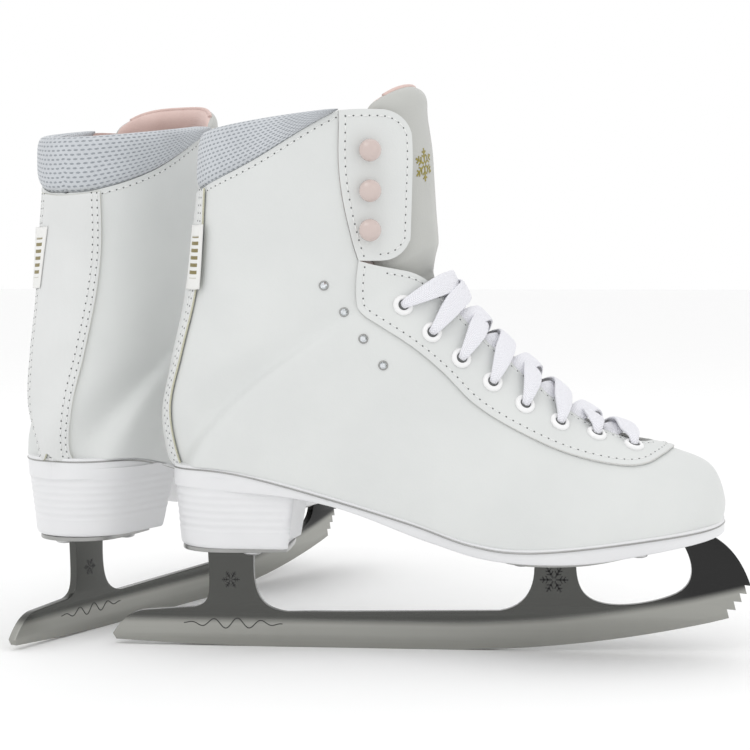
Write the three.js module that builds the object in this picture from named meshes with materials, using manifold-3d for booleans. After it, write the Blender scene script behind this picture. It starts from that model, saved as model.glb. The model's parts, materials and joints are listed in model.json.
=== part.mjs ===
// A pair of laced figure skates in millimetres, +Z up, standing on their blades.
// Each skate is modelled as a right one in its own frame: X runs to the toe from the middle of
// the rear blade post, Y to the left, Z up from the ice. The left skate is its mirror image.
import * as THREE from "three";
import { mergeVertices } from "three/addons/utils/BufferGeometryUtils.js";
import Module from "manifold-3d";

const wasm = await Module();
wasm.setup();

// Driving dimensions, in millimetres and degrees.
const GAP = 0.3; // air between neighbouring solids
const BLADE_THICKNESS = 4;
const PLATE_THICKNESS = 2;
const LEATHER = 2.6; // wall of the upper
const OVERLAY = 1.2; // facings and heel strip sewn on the upper
const LINING = 2.4;
const COLLAR_PAD = 8;
const LACE_WIDTH = 7;
const LACE_THICKNESS = 1.7;
const EYELET_BORE = 2.8; // radius
const INSOLE = 3.5; // thickness
const HEEL_BASE = 48.5; // height of the heel's underside
const LEFT_SKATE = { x: -75.4, y: 29, turn: 66 }; // where the left skate stands beside the right one
const OUTER = -1; // lateral side of a right skate, towards -Y
const INNER = 1;
const FAR = 120; // reach of a cutting prism past the boot

// Control net of the last that the boot is built on. Each row is one rib, from the centre line
// of the instep or shin (front) to the sole's edge or the heel's back seam (rear).
// front [x, z], rear [x, z], half widths at the rear end [outer, inner], sideways pull at the
// front, pull at the rear end [forward, sideways, up].
const RIBS = [
  [[224, 61], [223, 53], [4, 4], 3, [0, 0, 3]],
  [[225, 72], [220, 53], [18, 17], 13, [0, 2, 10]],
  [[219, 86], [209, 52], [31, 28], 23, [0, 4, 18]],
  [[204, 93], [192, 49], [40, 35], 28, [0, 5, 25]],
  [[183, 98], [168, 44], [43, 39], 29, [0, 6, 30]],
  [[160, 108], [141, 43], [41, 35], 28, [0, 6, 36]],
  [[139, 125], [112, 45], [36, 29], 28, [0, 6, 45]],
  [[120, 142], [78, 55], [31, 26], 32, [0, 6, 52]],
  [[107, 156], [42, 67], [30, 27], 38, [0, 6, 54]],
  [[101, 166], [10, 74], [29, 28], 43, [0, 9, 50]],
  [[99, 172], [-14, 76], [22, 22], 45, [4, 17, 46]],
  [[98, 179], [-24, 76], [0, 0], 47, [2, 38, 42]],
  [[98, 188], [-30, 103], [0, 0], 49, [2, 39, 21]],
  [[97, 200], [-26, 129], [0, 0], 50, [1, 41, 9]],
  [[96, 214], [-20, 156], [0, 0], 51, [0, 42, 3]],
  [[95, 228], [-16, 184], [0, 0], 53, [0, 44, 0]],
  [[93, 241], [-13, 210], [0, 0], 55, [0, 46, 0]],
  [[91, 252], [-11, 236], [0, 0], 56, [0, 48, 0]],
  [[89, 262], [-10, 256], [0, 0], 57, [0, 49, 0]],
];

// Side-view lines of the boot, as the few [x, z] pairs that a smooth line passes through.
const SOLE_LINE = smoothLine([ // where the upper meets the sole
  [-30, 86], [10, 84], [80, 65], [112, 55], [140, 53], [190, 59], [226, 63],
], 14);
const SOLE_BASE = smoothLine([ // underside of the sole in front of the heel
  [-30, 76], [40, 71], [92, 54], [122, 46.5], [158, 46], [190, 51], [226, 57],
], 12);
const COLLAR_LINE = smoothLine([ // top edge of the leather, under the padded collar
  [-30, 209], [-8, 211.5], [18, 223], [58, 243.5],
], 6);
const TOP_LINE = [[-30, 234], [40, 242.5], [110, 250]]; // rim of the boot
const FACING_LINE = [ // rear edge of the facing, from the boot's rim to the toe
  [52.5, 246], [53.5, 215], [62, 178], [86, 139.5], [116, 112.5], [152, 94], [184, 88], [203, 98],
];
const FLAP_FRONT = [ // top and front edge of the hook flap, down to the notch below it
  [50, 243], [68, 244], [80, 238], [84, 220], [83.5, 194], [81, 186], [70.8, 176.6],
];
const NOTCH_FLOOR = [[70.8, 175.2], [86, 172], [94.6, 165]];
const SEAM_LINE = [ // front edge of the heel strip
  [-7.6, 216], [-10, 176], [-21, 128.5], [-24.6, 101.5], [-19, 84],
];

// Eight eyelets, evenly spaced from the throat to the toe, and three hooks below one another.
const EYELETS = evenly([[81, 158], [107, 134], [144, 108.5], [183, 95]], 8);
const HOOKS = [0, 1, 2].map((i) => [66, 226 - 17.3 * i]);
const THROAT = { top: [60, 14], toe: [183, 9] }; // [x, half width] of the gap over the instep
const FLAP_HINGE = { top: [54.5, 243], foot: [62.5, 177.5] }; // side view of the flap's fold line

// ---------------------------------------------------------------- solids and meshes

// A geometry's triangles with shared corners merged and the collapsed ones dropped.
function weld(geometry) {
  const bare = (geometry.index ? geometry.toNonIndexed() : geometry).clone();
  for (const name of Object.keys(bare.attributes)) {
    if (name !== "position") bare.deleteAttribute(name);
  }
  const merged = mergeVertices(bare, 1e-3);
  const corners = [];
  for (let i = 0; i < merged.index.count; i += 3) {
    const [a, b, c] = [0, 1, 2].map((k) => merged.index.getX(i + k));
    if (a !== b && b !== c && a !== c) corners.push(a, b, c);
  }
  merged.setIndex(corners);
  return merged;
}

// A closed geometry as a manifold-3d solid that faces outwards.
function solidOf(geometry) {
  const welded = weld(geometry);
  const vertProperties = welded.attributes.position.array;
  const build = (triVerts) =>
    new wasm.Manifold(new wasm.Mesh({ numProp: 3, vertProperties, triVerts }));
  const corners = new Uint32Array(welded.index.array);
  const made = build(corners);
  if (made.volume() > 0) return made;
  for (let i = 0; i < corners.length; i += 3) {
    [corners[i + 1], corners[i + 2]] = [corners[i + 2], corners[i + 1]];
  }
  return build(corners);
}

function geometryOf(solid) {
  const { vertProperties, triVerts, numProp, numVert } = solid.getMesh();
  const places = new Float32Array(numVert * 3);
  for (let i = 0; i < numVert; i++) {
    places.set(vertProperties.subarray(i * numProp, i * numProp + 3), i * 3);
  }
  return new THREE.BufferGeometry()
    .setAttribute("position", new THREE.BufferAttribute(places, 3))
    .setIndex(new THREE.BufferAttribute(new Uint32Array(triVerts), 1));
}

// The largest connected body of a solid, without slivers left by cutting.
function mainBody(solid, slack = 0.08) {
  const bodies = solid.decompose();
  return bodies.reduce((best, body) => (body.volume() > best.volume() ? body : best)).simplify(slack);
}

// A closed skin through a row of closed rings of equal length, with flat fans over both ends. Its
// quads are split one way up to the middle of each ring and the other way after it, if mirrored.
function loft(rings, mirrored = false) {
  const places = [];
  const quad = (a, b, c, d) => {
    for (const p of [a, b, c, a, c, d]) places.push(p.x, p.y, p.z);
  };
  const fan = (ring, flip) => {
    const centre = ring.reduce((sum, p) => sum.add(p), new THREE.Vector3()).divideScalar(ring.length);
    ring.forEach((p, i) => {
      const next = ring[(i + 1) % ring.length];
      for (const q of flip ? [centre, next, p] : [centre, p, next]) places.push(q.x, q.y, q.z);
    });
  };
  for (let i = 1; i < rings.length; i++) {
    rings[i].forEach((p, k) => {
      const n = (k + 1) % rings[i].length;
      const corners = [rings[i - 1][k], rings[i - 1][n], rings[i][n], p];
      if (mirrored && 2 * k < rings[i].length - 1) corners.push(corners.shift());
      quad(...corners);
    });
  }
  fan(rings[0], true);
  fan(rings[rings.length - 1], false);
  return new THREE.BufferGeometry().setAttribute(
    "position",
    new THREE.Float32BufferAttribute(places, 3),
  );
}

// Points along a smooth line through [x, z] pairs.
function smoothLine(pairs, steps) {
  const curve = new THREE.SplineCurve(pairs.map(([x, z]) => new THREE.Vector2(x, z)));
  return curve.getPoints(steps).map((p) => [p.x, p.y]);
}

// A number of points at equal distances along a smooth line.
function evenly(pairs, count) {
  const curve = new THREE.SplineCurve(pairs.map(([x, z]) => new THREE.Vector2(x, z)));
  return curve.getSpacedPoints(count - 1).map((p) => [p.x, p.y]);
}

// The height of a side-view line at x.
function heightAt(line, x) {
  const i = Math.max(1, line.findIndex(([at], k) => k > 0 && at >= x));
  const [[x0, z0], [x1, z1]] = [line[i - 1], line[i]];
  return z0 + ((z1 - z0) * (x - x0)) / (x1 - x0);
}

// A side-view outline pulled sideways from one Y to another.
function sidePrism(outline, from = -FAR, to = FAR) {
  const shape = new THREE.Shape(outline.map(([x, z]) => new THREE.Vector2(x, z)));
  const geometry = new THREE.ExtrudeGeometry(shape, { depth: to - from, bevelEnabled: false });
  geometry.rotateX(Math.PI / 2).translate(0, to, 0);
  return solidOf(geometry);
}

// Everything above (or below) a side-view line.
function above(line, lift = 0, top = 400) {
  const raised = line.map(([x, z]) => [x, z + lift]);
  return sidePrism([...raised, [raised.at(-1)[0], top], [raised[0][0], top]]);
}

// ---------------------------------------------------------------- the last's surface

// One rib's four Bezier points on one side of the boot.
function ribPoints([front, rear, halfWidths, pull, rearPull], side) {
  const y = side * halfWidths[side === OUTER ? 0 : 1];
  const share = side === OUTER ? 1 : 0.97;
  return [
    new THREE.Vector3(front[0], 0, front[1]),
    new THREE.Vector3(front[0], side * pull * share, front[1]),
    new THREE.Vector3(rear[0] + rearPull[0], y + side * rearPull[1] * share, rear[1] + rearPull[2]),
    new THREE.Vector3(rear[0], y, rear[1]),
  ];
}

const rails = Object.fromEntries(
  [OUTER, INNER].map((side) => {
    const rows = RIBS.map((rib) => ribPoints(rib, side));
    const line = (k) =>
      new THREE.CatmullRomCurve3(rows.map((row) => row[k]), false, "catmullrom", 0.5);
    return [side, [0, 1, 2, 3].map(line)];
  }),
);

function keepSide(point, side) {
  point.y = side * Math.max(0, side * point.y);
  return point;
}

// The boot's outer surface: u runs from the toe up the instep to the rim, v from the centre
// line in front (0) round the side to the sole's edge or the back seam (1).
function surface(side, u, v) {
  const w = 1 - v;
  const weights = [w ** 3, 3 * w * w * v, 3 * w * v * v, v ** 3];
  const point = new THREE.Vector3();
  rails[side].forEach((rail, k) => point.addScaledVector(rail.getPoint(u), weights[k]));
  return keepSide(point, side);
}

// The outward normal, which stays in the middle plane on the centre line and the back seam.
function normalAt(side, u, v) {
  const step = 1e-3;
  const along = surface(side, Math.min(1, u + step), v).sub(surface(side, Math.max(0, u - step), v));
  const round = surface(side, u, Math.min(1, v + step)).sub(surface(side, u, Math.max(0, v - step)));
  const central = surface(side, u, v).y === 0;
  if (central) along.y = 0;
  const normal = along.cross(round).multiplyScalar(-side);
  if (central) normal.y = 0;
  return normal.normalize();
}

const offsetPoint = (side, u, v, offset) =>
  keepSide(surface(side, u, v).addScaledVector(normalAt(side, u, v), offset), side);

// The surface place seen at [x, z] from the side, by Newton's method from the nearest of a grid.
function placeAt(side, [x, z]) {
  let best = { miss: Infinity };
  for (let u = 0.02; u < 1; u += 0.02) {
    for (let v = 0.05; v < 1; v += 0.05) {
      const p = surface(side, u, v);
      const miss = Math.hypot(p.x - x, p.z - z);
      if (miss < best.miss) best = { miss, u, v };
    }
  }
  let { u, v } = best;
  const step = 1e-4;
  for (let turn = 0; turn < 12; turn++) {
    const p = surface(side, u, v);
    const du = surface(side, u + step, v).sub(p).divideScalar(step);
    const dv = surface(side, u, v + step).sub(p).divideScalar(step);
    const det = du.x * dv.z - du.z * dv.x;
    u += ((x - p.x) * dv.z - (z - p.z) * dv.x) / det;
    v += ((z - p.z) * du.x - (x - p.x) * du.z) / det;
  }
  return { u, v };
}

// The last as a solid, grown (or shrunk) by an offset.
function lastSolid(offset, along = 17, round = 5) {
  const rings = [];
  for (let i = 0; i <= along; i++) {
    const u = 0.004 + (0.996 * i) / along;
    const half = (side) =>
      Array.from({ length: round + 1 }, (_, k) => offsetPoint(side, u, k / round, offset));
    rings.push([...half(OUTER).reverse(), ...half(INNER).slice(1)]);
  }
  return solidOf(loft(rings, true));
}

const lasts = new Map();
function last(offset) {
  if (!lasts.has(offset)) lasts.set(offset, lastSolid(offset));
  return lasts.get(offset);
}
const wall = (outside, inside) => last(outside).subtract(last(inside));

// ---------------------------------------------------------------- cutting regions of the boot

const belowSole = (lift) =>
  sidePrism([...SOLE_LINE.map(([x, z]) => [x, z + lift]), [226, 0], [-30, 0]]);
const aboveCollar = (lift) => above([...COLLAR_LINE, [110, 246]], lift);
const aboveRim = () => above(TOP_LINE);

const throatHalf = (x) => heightAt([THROAT.top, THROAT.toe], x);

// The gap between the facings over the instep, in plan, with a round end at the toe.
function throatGap(grow = 0) {
  const [[top, wide], [toe, narrow]] = [THROAT.top, THROAT.toe];
  const shape = new THREE.Shape();
  shape.moveTo(top, -wide - grow);
  shape.lineTo(toe, -narrow - grow);
  shape.absarc(toe, 0, narrow + grow, -Math.PI / 2, Math.PI / 2, false);
  shape.lineTo(top, wide + grow);
  const geometry = new THREE.ExtrudeGeometry(shape, { depth: 92, bevelEnabled: false, curveSegments: 4 });
  return solidOf(geometry.translate(0, 0, 84));
}

// The opening in front of the flaps, seen from the side.
const shinGap = () =>
  sidePrism([
    ...smoothLine(FLAP_FRONT, 14), ...smoothLine(NOTCH_FLOOR, 3), [140, 168], [140, 270], [50, 270],
  ]);

// The facing's area on one side, seen from the side: everything in front of its rear edge.
function facingArea(side, shrink = 0, steps = 12) {
  const edge = smoothLine(FACING_LINE, steps).map(([x, z]) => [x + shrink, z]);
  const reach = side === OUTER ? [-FAR, -GAP] : [GAP, FAR];
  return sidePrism([...edge, [203, 130], [150, 175], [120, 250]], ...reach);
}

// The flap's area: the facing above a cut square to the fold line.
function flapArea(side, clearance) {
  const { top, foot } = FLAP_HINGE;
  const tilt = (foot[0] - top[0]) / (top[1] - foot[1]);
  const cut = (x) => foot[1] + (x - foot[0]) * tilt + clearance;
  const reach = side === OUTER ? [-FAR, -GAP] : [GAP, FAR];
  return sidePrism([
    [foot[0] + clearance, cut(foot[0])], [110, cut(110)], [110, 262], [top[0] - 2 + clearance, 262],
  ], ...reach);
}

// ---------------------------------------------------------------- boot pieces

function eyeletBores(side) {
  return EYELETS.map((place) => {
    const { u, v } = placeAt(side, place);
    const geometry = new THREE.CylinderGeometry(EYELET_BORE, EYELET_BORE, 16, 6);
    return solidOf(stand(geometry, offsetPoint(side, u, v, 0), normalAt(side, u, v)));
  });
}

// Turns a geometry made along +Y to a direction and moves it to a place.
function stand(geometry, place, direction) {
  const turn = new THREE.Quaternion().setFromUnitVectors(new THREE.Vector3(0, 1, 0), direction);
  return geometry.applyQuaternion(turn).translate(place.x, place.y, place.z);
}

const cutAll = (solid, cutters) => cutters.reduce((rest, cutter) => rest.subtract(cutter), solid);

function upper() {
  const cutters = [
    belowSole(GAP), aboveCollar(0), aboveRim(), throatGap(), shinGap(),
    flapArea(OUTER, -GAP), flapArea(INNER, -GAP), ...eyeletBores(OUTER), ...eyeletBores(INNER),
  ];
  return mainBody(cutAll(wall(0, -LEATHER), cutters));
}

function facing(side) {
  const cutters = [throatGap(), shinGap(), flapArea(side, -GAP)];
  const strip = cutAll(wall(GAP + OVERLAY, GAP).intersect(facingArea(side)), cutters);
  const rings = EYELETS.map((place) => {
    const { u, v } = placeAt(side, place);
    const geometry = new THREE.CylinderGeometry(3.9, 4.6, 1.6, 6);
    return solidOf(stand(geometry, offsetPoint(side, u, v, GAP + OVERLAY + 0.4), normalAt(side, u, v)));
  });
  const ringed = rings.reduce((sum, ring) => sum.add(ring), strip);
  return mainBody(cutAll(ringed, eyeletBores(side)));
}

function flap(side) {
  const area = flapArea(side, GAP).subtract(shinGap());
  return mainBody(wall(GAP + OVERLAY, -LEATHER).intersect(area));
}

function collar() {
  const front = sidePrism([[51.5, 200], [140, 200], [140, 300], [51.5, 300]]);
  const kept = wall(1.2, -COLLAR_PAD).intersect(aboveCollar(GAP));
  return mainBody(kept.subtract(aboveRim()).subtract(front));
}

function lining() {
  const front = facingArea(OUTER, -4, 8).add(facingArea(INNER, -4, 8));
  const outside = -LEATHER - 2 * GAP;
  const cutters = [belowSole(INSOLE + 3 * GAP), aboveCollar(-GAP), front, throatGap(8)];
  return mainBody(cutAll(wall(outside, outside - LINING), cutters), 0.25);
}

function heelStrip() {
  const line = smoothLine(SEAM_LINE, 9);
  const area = sidePrism([...line, [-60, 84], [-60, 216]]);
  const cutters = [belowSole(GAP), aboveCollar(-GAP)];
  return mainBody(cutAll(wall(2 * GAP + OVERLAY, 2 * GAP).intersect(area), cutters));
}

// The tongue below the fold lies under the laces, the part above it stands between the flaps.
function tongueBase() {
  const area = sidePrism([
    [60, 150], [96, 122], [140, 98], [194, 86], [196, 100], [150, 150], [120, 176], [104, 182.5],
    [70, 182.5],
  ], -30, 30);
  return mainBody(wall(-8.6, -13.2).intersect(area));
}

function tongueTop() {
  const area = sidePrism([
    [66, 185], [110, 185], [110, 240], [96, 251], [87, 256], [78, 256], [62, 249],
  ], -34, 34);
  return mainBody(wall(-LEATHER - 0.8, -11).intersect(area));
}

// A speed hook: a round foot, a neck and a domed head, along the flap's normal.
function hook(side, place) {
  const profile = [
    [0, 0], [3.8, 0], [3.6, 0.9], [1.9, 1.3], [1.9, 3.4], [4.9, 4.3], [4.5, 6.2], [2.6, 7.5], [0, 7.9],
  ].map(([r, y]) => new THREE.Vector2(r, y));
  const { u, v } = placeAt(side, place);
  const foot = offsetPoint(side, u, v, 2 * GAP + OVERLAY + 0.1);
  return stand(new THREE.LatheGeometry(profile, 8), foot, normalAt(side, u, v));
}

// ---------------------------------------------------------------- lace

// Where the lace crosses the throat, on the centre line between two pairs of eyelets.
function ridgePlace(level) {
  const places = [level, level + 1].map((i) => placeAt(OUTER, EYELETS[i]));
  return (places[0].u + places[1].u) / 2;
}

// The share v on a rib where the boot is a given distance from its centre line.
function shareAt(side, u, distance) {
  let [low, high] = [0, 0.5];
  for (let i = 0; i < 30; i++) {
    const middle = (low + high) / 2;
    if (Math.abs(surface(side, u, middle).y) < distance) low = middle;
    else high = middle;
  }
  return low;
}

// Where the lace meets the edge of the throat at u, over (or under) the facing on one side.
function edgePoint(side, u, inset, offset) {
  const v = shareAt(side, u, throatHalf(surface(side, u, 0).x) - inset);
  return [offsetPoint(side, u, v, offset), LACE_WIDTH];
}

// Way points of one half of the lace, from its end tucked in at the toe up to the top eyelet. It
// leaves each eyelet outwards, crosses the throat and dives under the other facing to the next one.
function halfLace(firstSide) {
  const inside = -LEATHER - 2 * GAP - LACE_THICKNESS;
  const outside = GAP + OVERLAY + 3;
  const narrow = 2;
  const points = [];
  let side = firstSide;
  for (let i = EYELETS.length - 1; i >= 0; i--) {
    const { u, v } = placeAt(side, EYELETS[i]);
    if (points.length === 0) points.push([offsetPoint(side, u - 0.012, v, inside), narrow]);
    points.push([offsetPoint(side, u, v, inside), narrow]);
    points.push([offsetPoint(side, u, v, outside), narrow]);
    if (i === 0) break;
    const crossing = ridgePlace(i - 1);
    points.push(edgePoint(side, (u + crossing) / 2, 0, outside + 1));
    points.push([offsetPoint(side, crossing, 0, firstSide === OUTER ? 1.4 : -1.4), LACE_WIDTH]);
    points.push(edgePoint(-side, (placeAt(-side, EYELETS[i - 1]).u + crossing) / 2, 2.5, inside));
    side = -side;
  }
  return points;
}

// A flat band along way points [place, width], its flat side square to the instep line.
function band(points, thickness) {
  const instep = new THREE.Vector3(0.76, 0, -0.65);
  const rings = points.map(([place, width], i) => {
    const before = points[Math.max(0, i - 1)][0];
    const after = points[Math.min(points.length - 1, i + 1)][0];
    const ahead = after.clone().sub(before).normalize();
    const across = instep.clone().addScaledVector(ahead, -instep.dot(ahead)).normalize();
    const up = new THREE.Vector3().crossVectors(ahead, across);
    return [[1, 1], [-1, 1], [-1, -1], [1, -1]].map(([a, b]) =>
      place.clone().addScaledVector(across, (a * width) / 2).addScaledVector(up, (b * thickness) / 2),
    );
  });
  return loft(rings);
}

// The middle of the lace is the bar over the tongue between the top eyelets.
function lace() {
  const { u } = placeAt(OUTER, EYELETS[0]);
  const bar = [
    edgePoint(INNER, u, 0, 5.5), [offsetPoint(OUTER, u, 0, 1.6), LACE_WIDTH], edgePoint(OUTER, u, 0, 5.5),
  ];
  return band([...halfLace(OUTER), ...bar, ...halfLace(INNER).reverse()], LACE_THICKNESS);
}

// ---------------------------------------------------------------- sole and blade

// Half width of the sole's top edge at x, outer or inner side.
const SOLE_PLAN = [ // [x, outer, inner]
  [-26, 0.6, 0.6], [-24, 11, 11], [-18, 20, 19.5], [-8, 27, 26], [8, 30.5, 29], [35, 32, 28.5],
  [65, 32, 27.5], [92, 34, 28.5], [115, 38.5, 32.5], [140, 43, 38], [165, 45, 41],
  [185, 44, 39.5], [202, 38.5, 34], [213, 31, 27], [220, 21, 18], [224, 9, 8], [225, 0.6, 0.6],
];

// A slab that follows the sole's plan, between two heights given along x.
function soleSlab(plan, topAt, baseAt, taper) {
  return loft(
    plan.map(([x, outer, inner]) => {
      const corner = (y, z) => new THREE.Vector3(x, y, z);
      return [
        corner(-outer, topAt(x)), corner(inner, topAt(x)),
        corner(inner * taper, baseAt(x)), corner(-outer * taper, baseAt(x)),
      ];
    }),
  );
}

// A ring round the heel at one height: straight breast in front, round at the back.
function heelRing(z, breast, back, halfWidth) {
  const ring = [new THREE.Vector3(breast, -halfWidth, z), new THREE.Vector3(breast, halfWidth, z)];
  const middle = back + halfWidth * 1.05;
  for (let i = 0; i <= 10; i++) {
    const angle = Math.PI / 2 + (Math.PI * i) / 10;
    ring.push(new THREE.Vector3(
      middle + Math.cos(angle) * (middle - back), Math.sin(angle) * halfWidth * 0.995, z,
    ));
  }
  return ring;
}

const SCREWS = [ // [x, y, length above the plate]
  [-16.5, 0, 10], [12, -15, 10], [12, 15, 10], [24, 0, 10],
  [134, -18, 5], [134, 18, 5], [186, -15, 5], [186, 15, 5],
];
const HEAD_RADIUS = 4;
const plateBase = (x) => (x < 60 ? HEEL_BASE : heightAt(SOLE_BASE, x)) - GAP - PLATE_THICKNESS;

const screwBores = () =>
  SCREWS.map(([x, y, length]) => {
    const depth = 2 * (length + GAP);
    const geometry = new THREE.CylinderGeometry(2.3, 2.3, depth, 6).rotateX(Math.PI / 2);
    return solidOf(geometry.translate(x, y, plateBase(x) + PLATE_THICKNESS));
  });

function outsole() {
  const slab = solidOf(
    soleSlab(SOLE_PLAN, (x) => heightAt(SOLE_LINE, x) + 2, (x) => heightAt(SOLE_BASE, x), 0.96),
  );
  const heel = loft([
    heelRing(HEEL_BASE, 29.5, -22.8, 24), heelRing(60, 31, -24, 26.2), heelRing(79, 34, -25.6, 29.2),
  ]);
  return cutAll(slab.add(solidOf(heel)).intersect(belowSole(0)), screwBores());
}

// The insole fills the upper's floor.
function insole() {
  const layer = belowSole(GAP + INSOLE).subtract(belowSole(GAP));
  return mainBody(last(-LEATHER - 2 * GAP).intersect(layer));
}

function heelPlate() {
  const shape = new THREE.Shape();
  shape.moveTo(28, -17);
  shape.quadraticCurveTo(29, 0, 28, 17);
  shape.lineTo(6, 20);
  shape.absarc(-2, 0, 20, Math.PI / 2, (3 * Math.PI) / 2, false);
  shape.lineTo(6, -20);
  const options = { depth: PLATE_THICKNESS, bevelEnabled: false, curveSegments: 6 };
  const geometry = new THREE.ExtrudeGeometry(shape, options).translate(0, 0, plateBase(0));
  return cutAll(solidOf(geometry), screwBores());
}

const SOLE_PLATE_PLAN = [ // [x, half width]
  [124, 12], [127, 24], [139, 30], [158, 31], [176, 28], [196, 20], [210, 13.5], [219.5, 9],
];

function solePlate() {
  const plan = SOLE_PLATE_PLAN.map(([x, half]) => [x, half, half]);
  const slab = soleSlab(plan, (x) => plateBase(x) + PLATE_THICKNESS, plateBase, 1);
  return cutAll(solidOf(slab), screwBores());
}

function screw([x, y, length]) {
  const tip = PLATE_THICKNESS + GAP + length;
  const lip = Math.min(plateBase(x - HEAD_RADIUS), plateBase(x + HEAD_RADIUS)) - plateBase(x);
  const profile = [
    [0, lip - 1.7], [2.6, lip - 1.5], [HEAD_RADIUS, lip - 0.3], [HEAD_RADIUS, lip], [1.9, lip],
    [1.9, tip - 2], [0, tip],
  ];
  const geometry = new THREE.LatheGeometry(profile.map(([r, z]) => new THREE.Vector2(r, z)), 6);
  return geometry.rotateX(Math.PI / 2).translate(x, y, plateBase(x) - GAP);
}

// The steel blade: runner, two posts and a toe with five picks, cut from one plate. Its running
// edge rises to the toe as (x - 95)^2 / 1068.
function runner() {
  const tip = plateBase(219) - GAP;
  const shape = new THREE.Shape();
  shape.moveTo(-54, 2.4);
  for (const [x, z] of [[-20, 0.7], [8, 0], [108, 0]]) shape.lineTo(x, z);
  for (let x = 128; x < 220; x += 18) shape.lineTo(x, (x - 95) ** 2 / 1068);
  for (let i = 0; i < 5; i++) {
    const [x, z] = [227.5 + 3.2 * i - 0.2 * i * i, 16.6 + 3.7 * i];
    shape.lineTo(x, z);
    if (i < 4) shape.lineTo(x - 1, z + 4);
  }
  shape.quadraticCurveTo(232, 45, 220.5, tip);
  shape.lineTo(206, plateBase(206) - GAP);
  shape.bezierCurveTo(211, 43, 215, 31, 201, 26);
  shape.bezierCurveTo(192, 22.5, 180, 21, 173, 22);
  shape.bezierCurveTo(162, 23.5, 158.3, 29, 158.6, plateBase(158.6) - GAP);
  shape.lineTo(139.4, plateBase(139.4) - GAP);
  shape.bezierCurveTo(140.6, 32, 138, 20.5, 124, 18.2);
  shape.lineTo(26, 16.2);
  shape.bezierCurveTo(13, 17.6, 9.4, 25, 10.8, HEEL_BASE - PLATE_THICKNESS - 2 * GAP);
  shape.lineTo(-10.8, HEEL_BASE - PLATE_THICKNESS - 2 * GAP);
  shape.bezierCurveTo(-9.6, 24, -9, 20, -17, 18);
  shape.lineTo(-40, 16.2);
  shape.bezierCurveTo(-47, 15.8, -52, 11, -55.6, 5);
  shape.lineTo(-55.8, 3.2);
  const options = { depth: BLADE_THICKNESS, bevelEnabled: false, curveSegments: 5 };
  return new THREE.ExtrudeGeometry(shape, options)
    .rotateX(Math.PI / 2)
    .translate(0, BLADE_THICKNESS / 2, 0);
}

// ---------------------------------------------------------------- materials and assembly

const material = (color, roughness, metalness = 0) =>
  new THREE.MeshStandardMaterial({ color, roughness, metalness });
const MATERIALS = {
  leather: material(0xe6e8e7, 0.45),
  mesh: material(0xb9c3cf, 0.9),
  lining: material(0xd9b8ae, 0.9),
  sole: material(0xf1f1f4, 0.35),
  steel: material(0x8d8f8c, 0.25, 1),
  lace: material(0xeeedf6, 0.85),
  hook: material(0xe3c4bd, 0.2),
};

function skate(name) {
  const group = new THREE.Group();
  const add = (node, made, finish) => {
    const solid = made.isBufferGeometry ? solidOf(made) : made;
    const mesh = new THREE.Mesh(geometryOf(solid), MATERIALS[finish]);
    mesh.name = `${name}_${node}`;
    group.add(mesh);
  };
  add("runner", runner(), "steel");
  add("heel_plate", heelPlate(), "steel");
  add("sole_plate", solePlate(), "steel");
  SCREWS.forEach((place, i) => add(`${i < 4 ? "heel" : "sole"}_screw_${(i % 4) + 1}`, screw(place), "steel"));
  add("outsole", outsole(), "sole");
  add("insole", insole(), "lining");
  add("upper", upper(), "leather");
  add("lining", lining(), "lining");
  add("collar", collar(), "mesh");
  add("heel_strip", heelStrip(), "leather");
  add("tongue_base", tongueBase(), "leather");
  add("tongue_top", tongueTop(), "leather");
  add("lace", lace(), "lace");
  for (const [side, word] of [[OUTER, "outer"], [INNER, "inner"]]) {
    add(`facing_${word}`, facing(side), "leather");
    add(`flap_${word}`, flap(side), "leather");
    HOOKS.forEach((place, i) => add(`hook_${word}_${i + 1}`, hook(side, place), "hook"));
  }
  return group;
}

const right = skate("right");
const left = skate("left");
left.scale.y = -1;
left.rotation.z = THREE.MathUtils.degToRad(LEFT_SKATE.turn);
left.position.set(LEFT_SKATE.x, LEFT_SKATE.y, 0);

// The origin is on the ice under the middle of the pair's box.
const pair = new THREE.Group();
pair.add(right, left);
pair.updateMatrixWorld(true);
const middle = new THREE.Box3().setFromObject(pair, true).getCenter(new THREE.Vector3());
pair.position.set(-middle.x, -middle.y, 0);

export default pair;
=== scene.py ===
import json
import math

import bpy
import numpy as np
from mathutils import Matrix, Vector


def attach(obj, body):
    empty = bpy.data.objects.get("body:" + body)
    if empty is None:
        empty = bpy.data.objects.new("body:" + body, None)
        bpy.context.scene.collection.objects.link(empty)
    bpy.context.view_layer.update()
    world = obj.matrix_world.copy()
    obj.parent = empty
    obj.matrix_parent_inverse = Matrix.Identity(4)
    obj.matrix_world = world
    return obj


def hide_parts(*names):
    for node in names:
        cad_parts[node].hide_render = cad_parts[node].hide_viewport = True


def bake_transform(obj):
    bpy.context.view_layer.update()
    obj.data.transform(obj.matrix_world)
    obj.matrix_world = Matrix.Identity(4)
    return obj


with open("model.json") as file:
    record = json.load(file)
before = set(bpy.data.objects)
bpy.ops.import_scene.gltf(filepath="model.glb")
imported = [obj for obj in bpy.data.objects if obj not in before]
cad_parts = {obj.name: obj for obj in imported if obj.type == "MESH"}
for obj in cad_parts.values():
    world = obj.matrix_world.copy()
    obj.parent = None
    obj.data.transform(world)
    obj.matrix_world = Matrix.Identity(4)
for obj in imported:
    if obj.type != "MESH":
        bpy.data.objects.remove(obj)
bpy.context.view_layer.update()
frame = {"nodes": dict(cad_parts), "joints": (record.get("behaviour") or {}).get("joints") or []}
mm = 0.001
tongueHinge = {"x": 94, "z": 184}  # in a skate's own frame
edgeCurve = {"start": 95, "reach": 1068}  # the running edge rises as (x - start)^2 / reach


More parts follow.
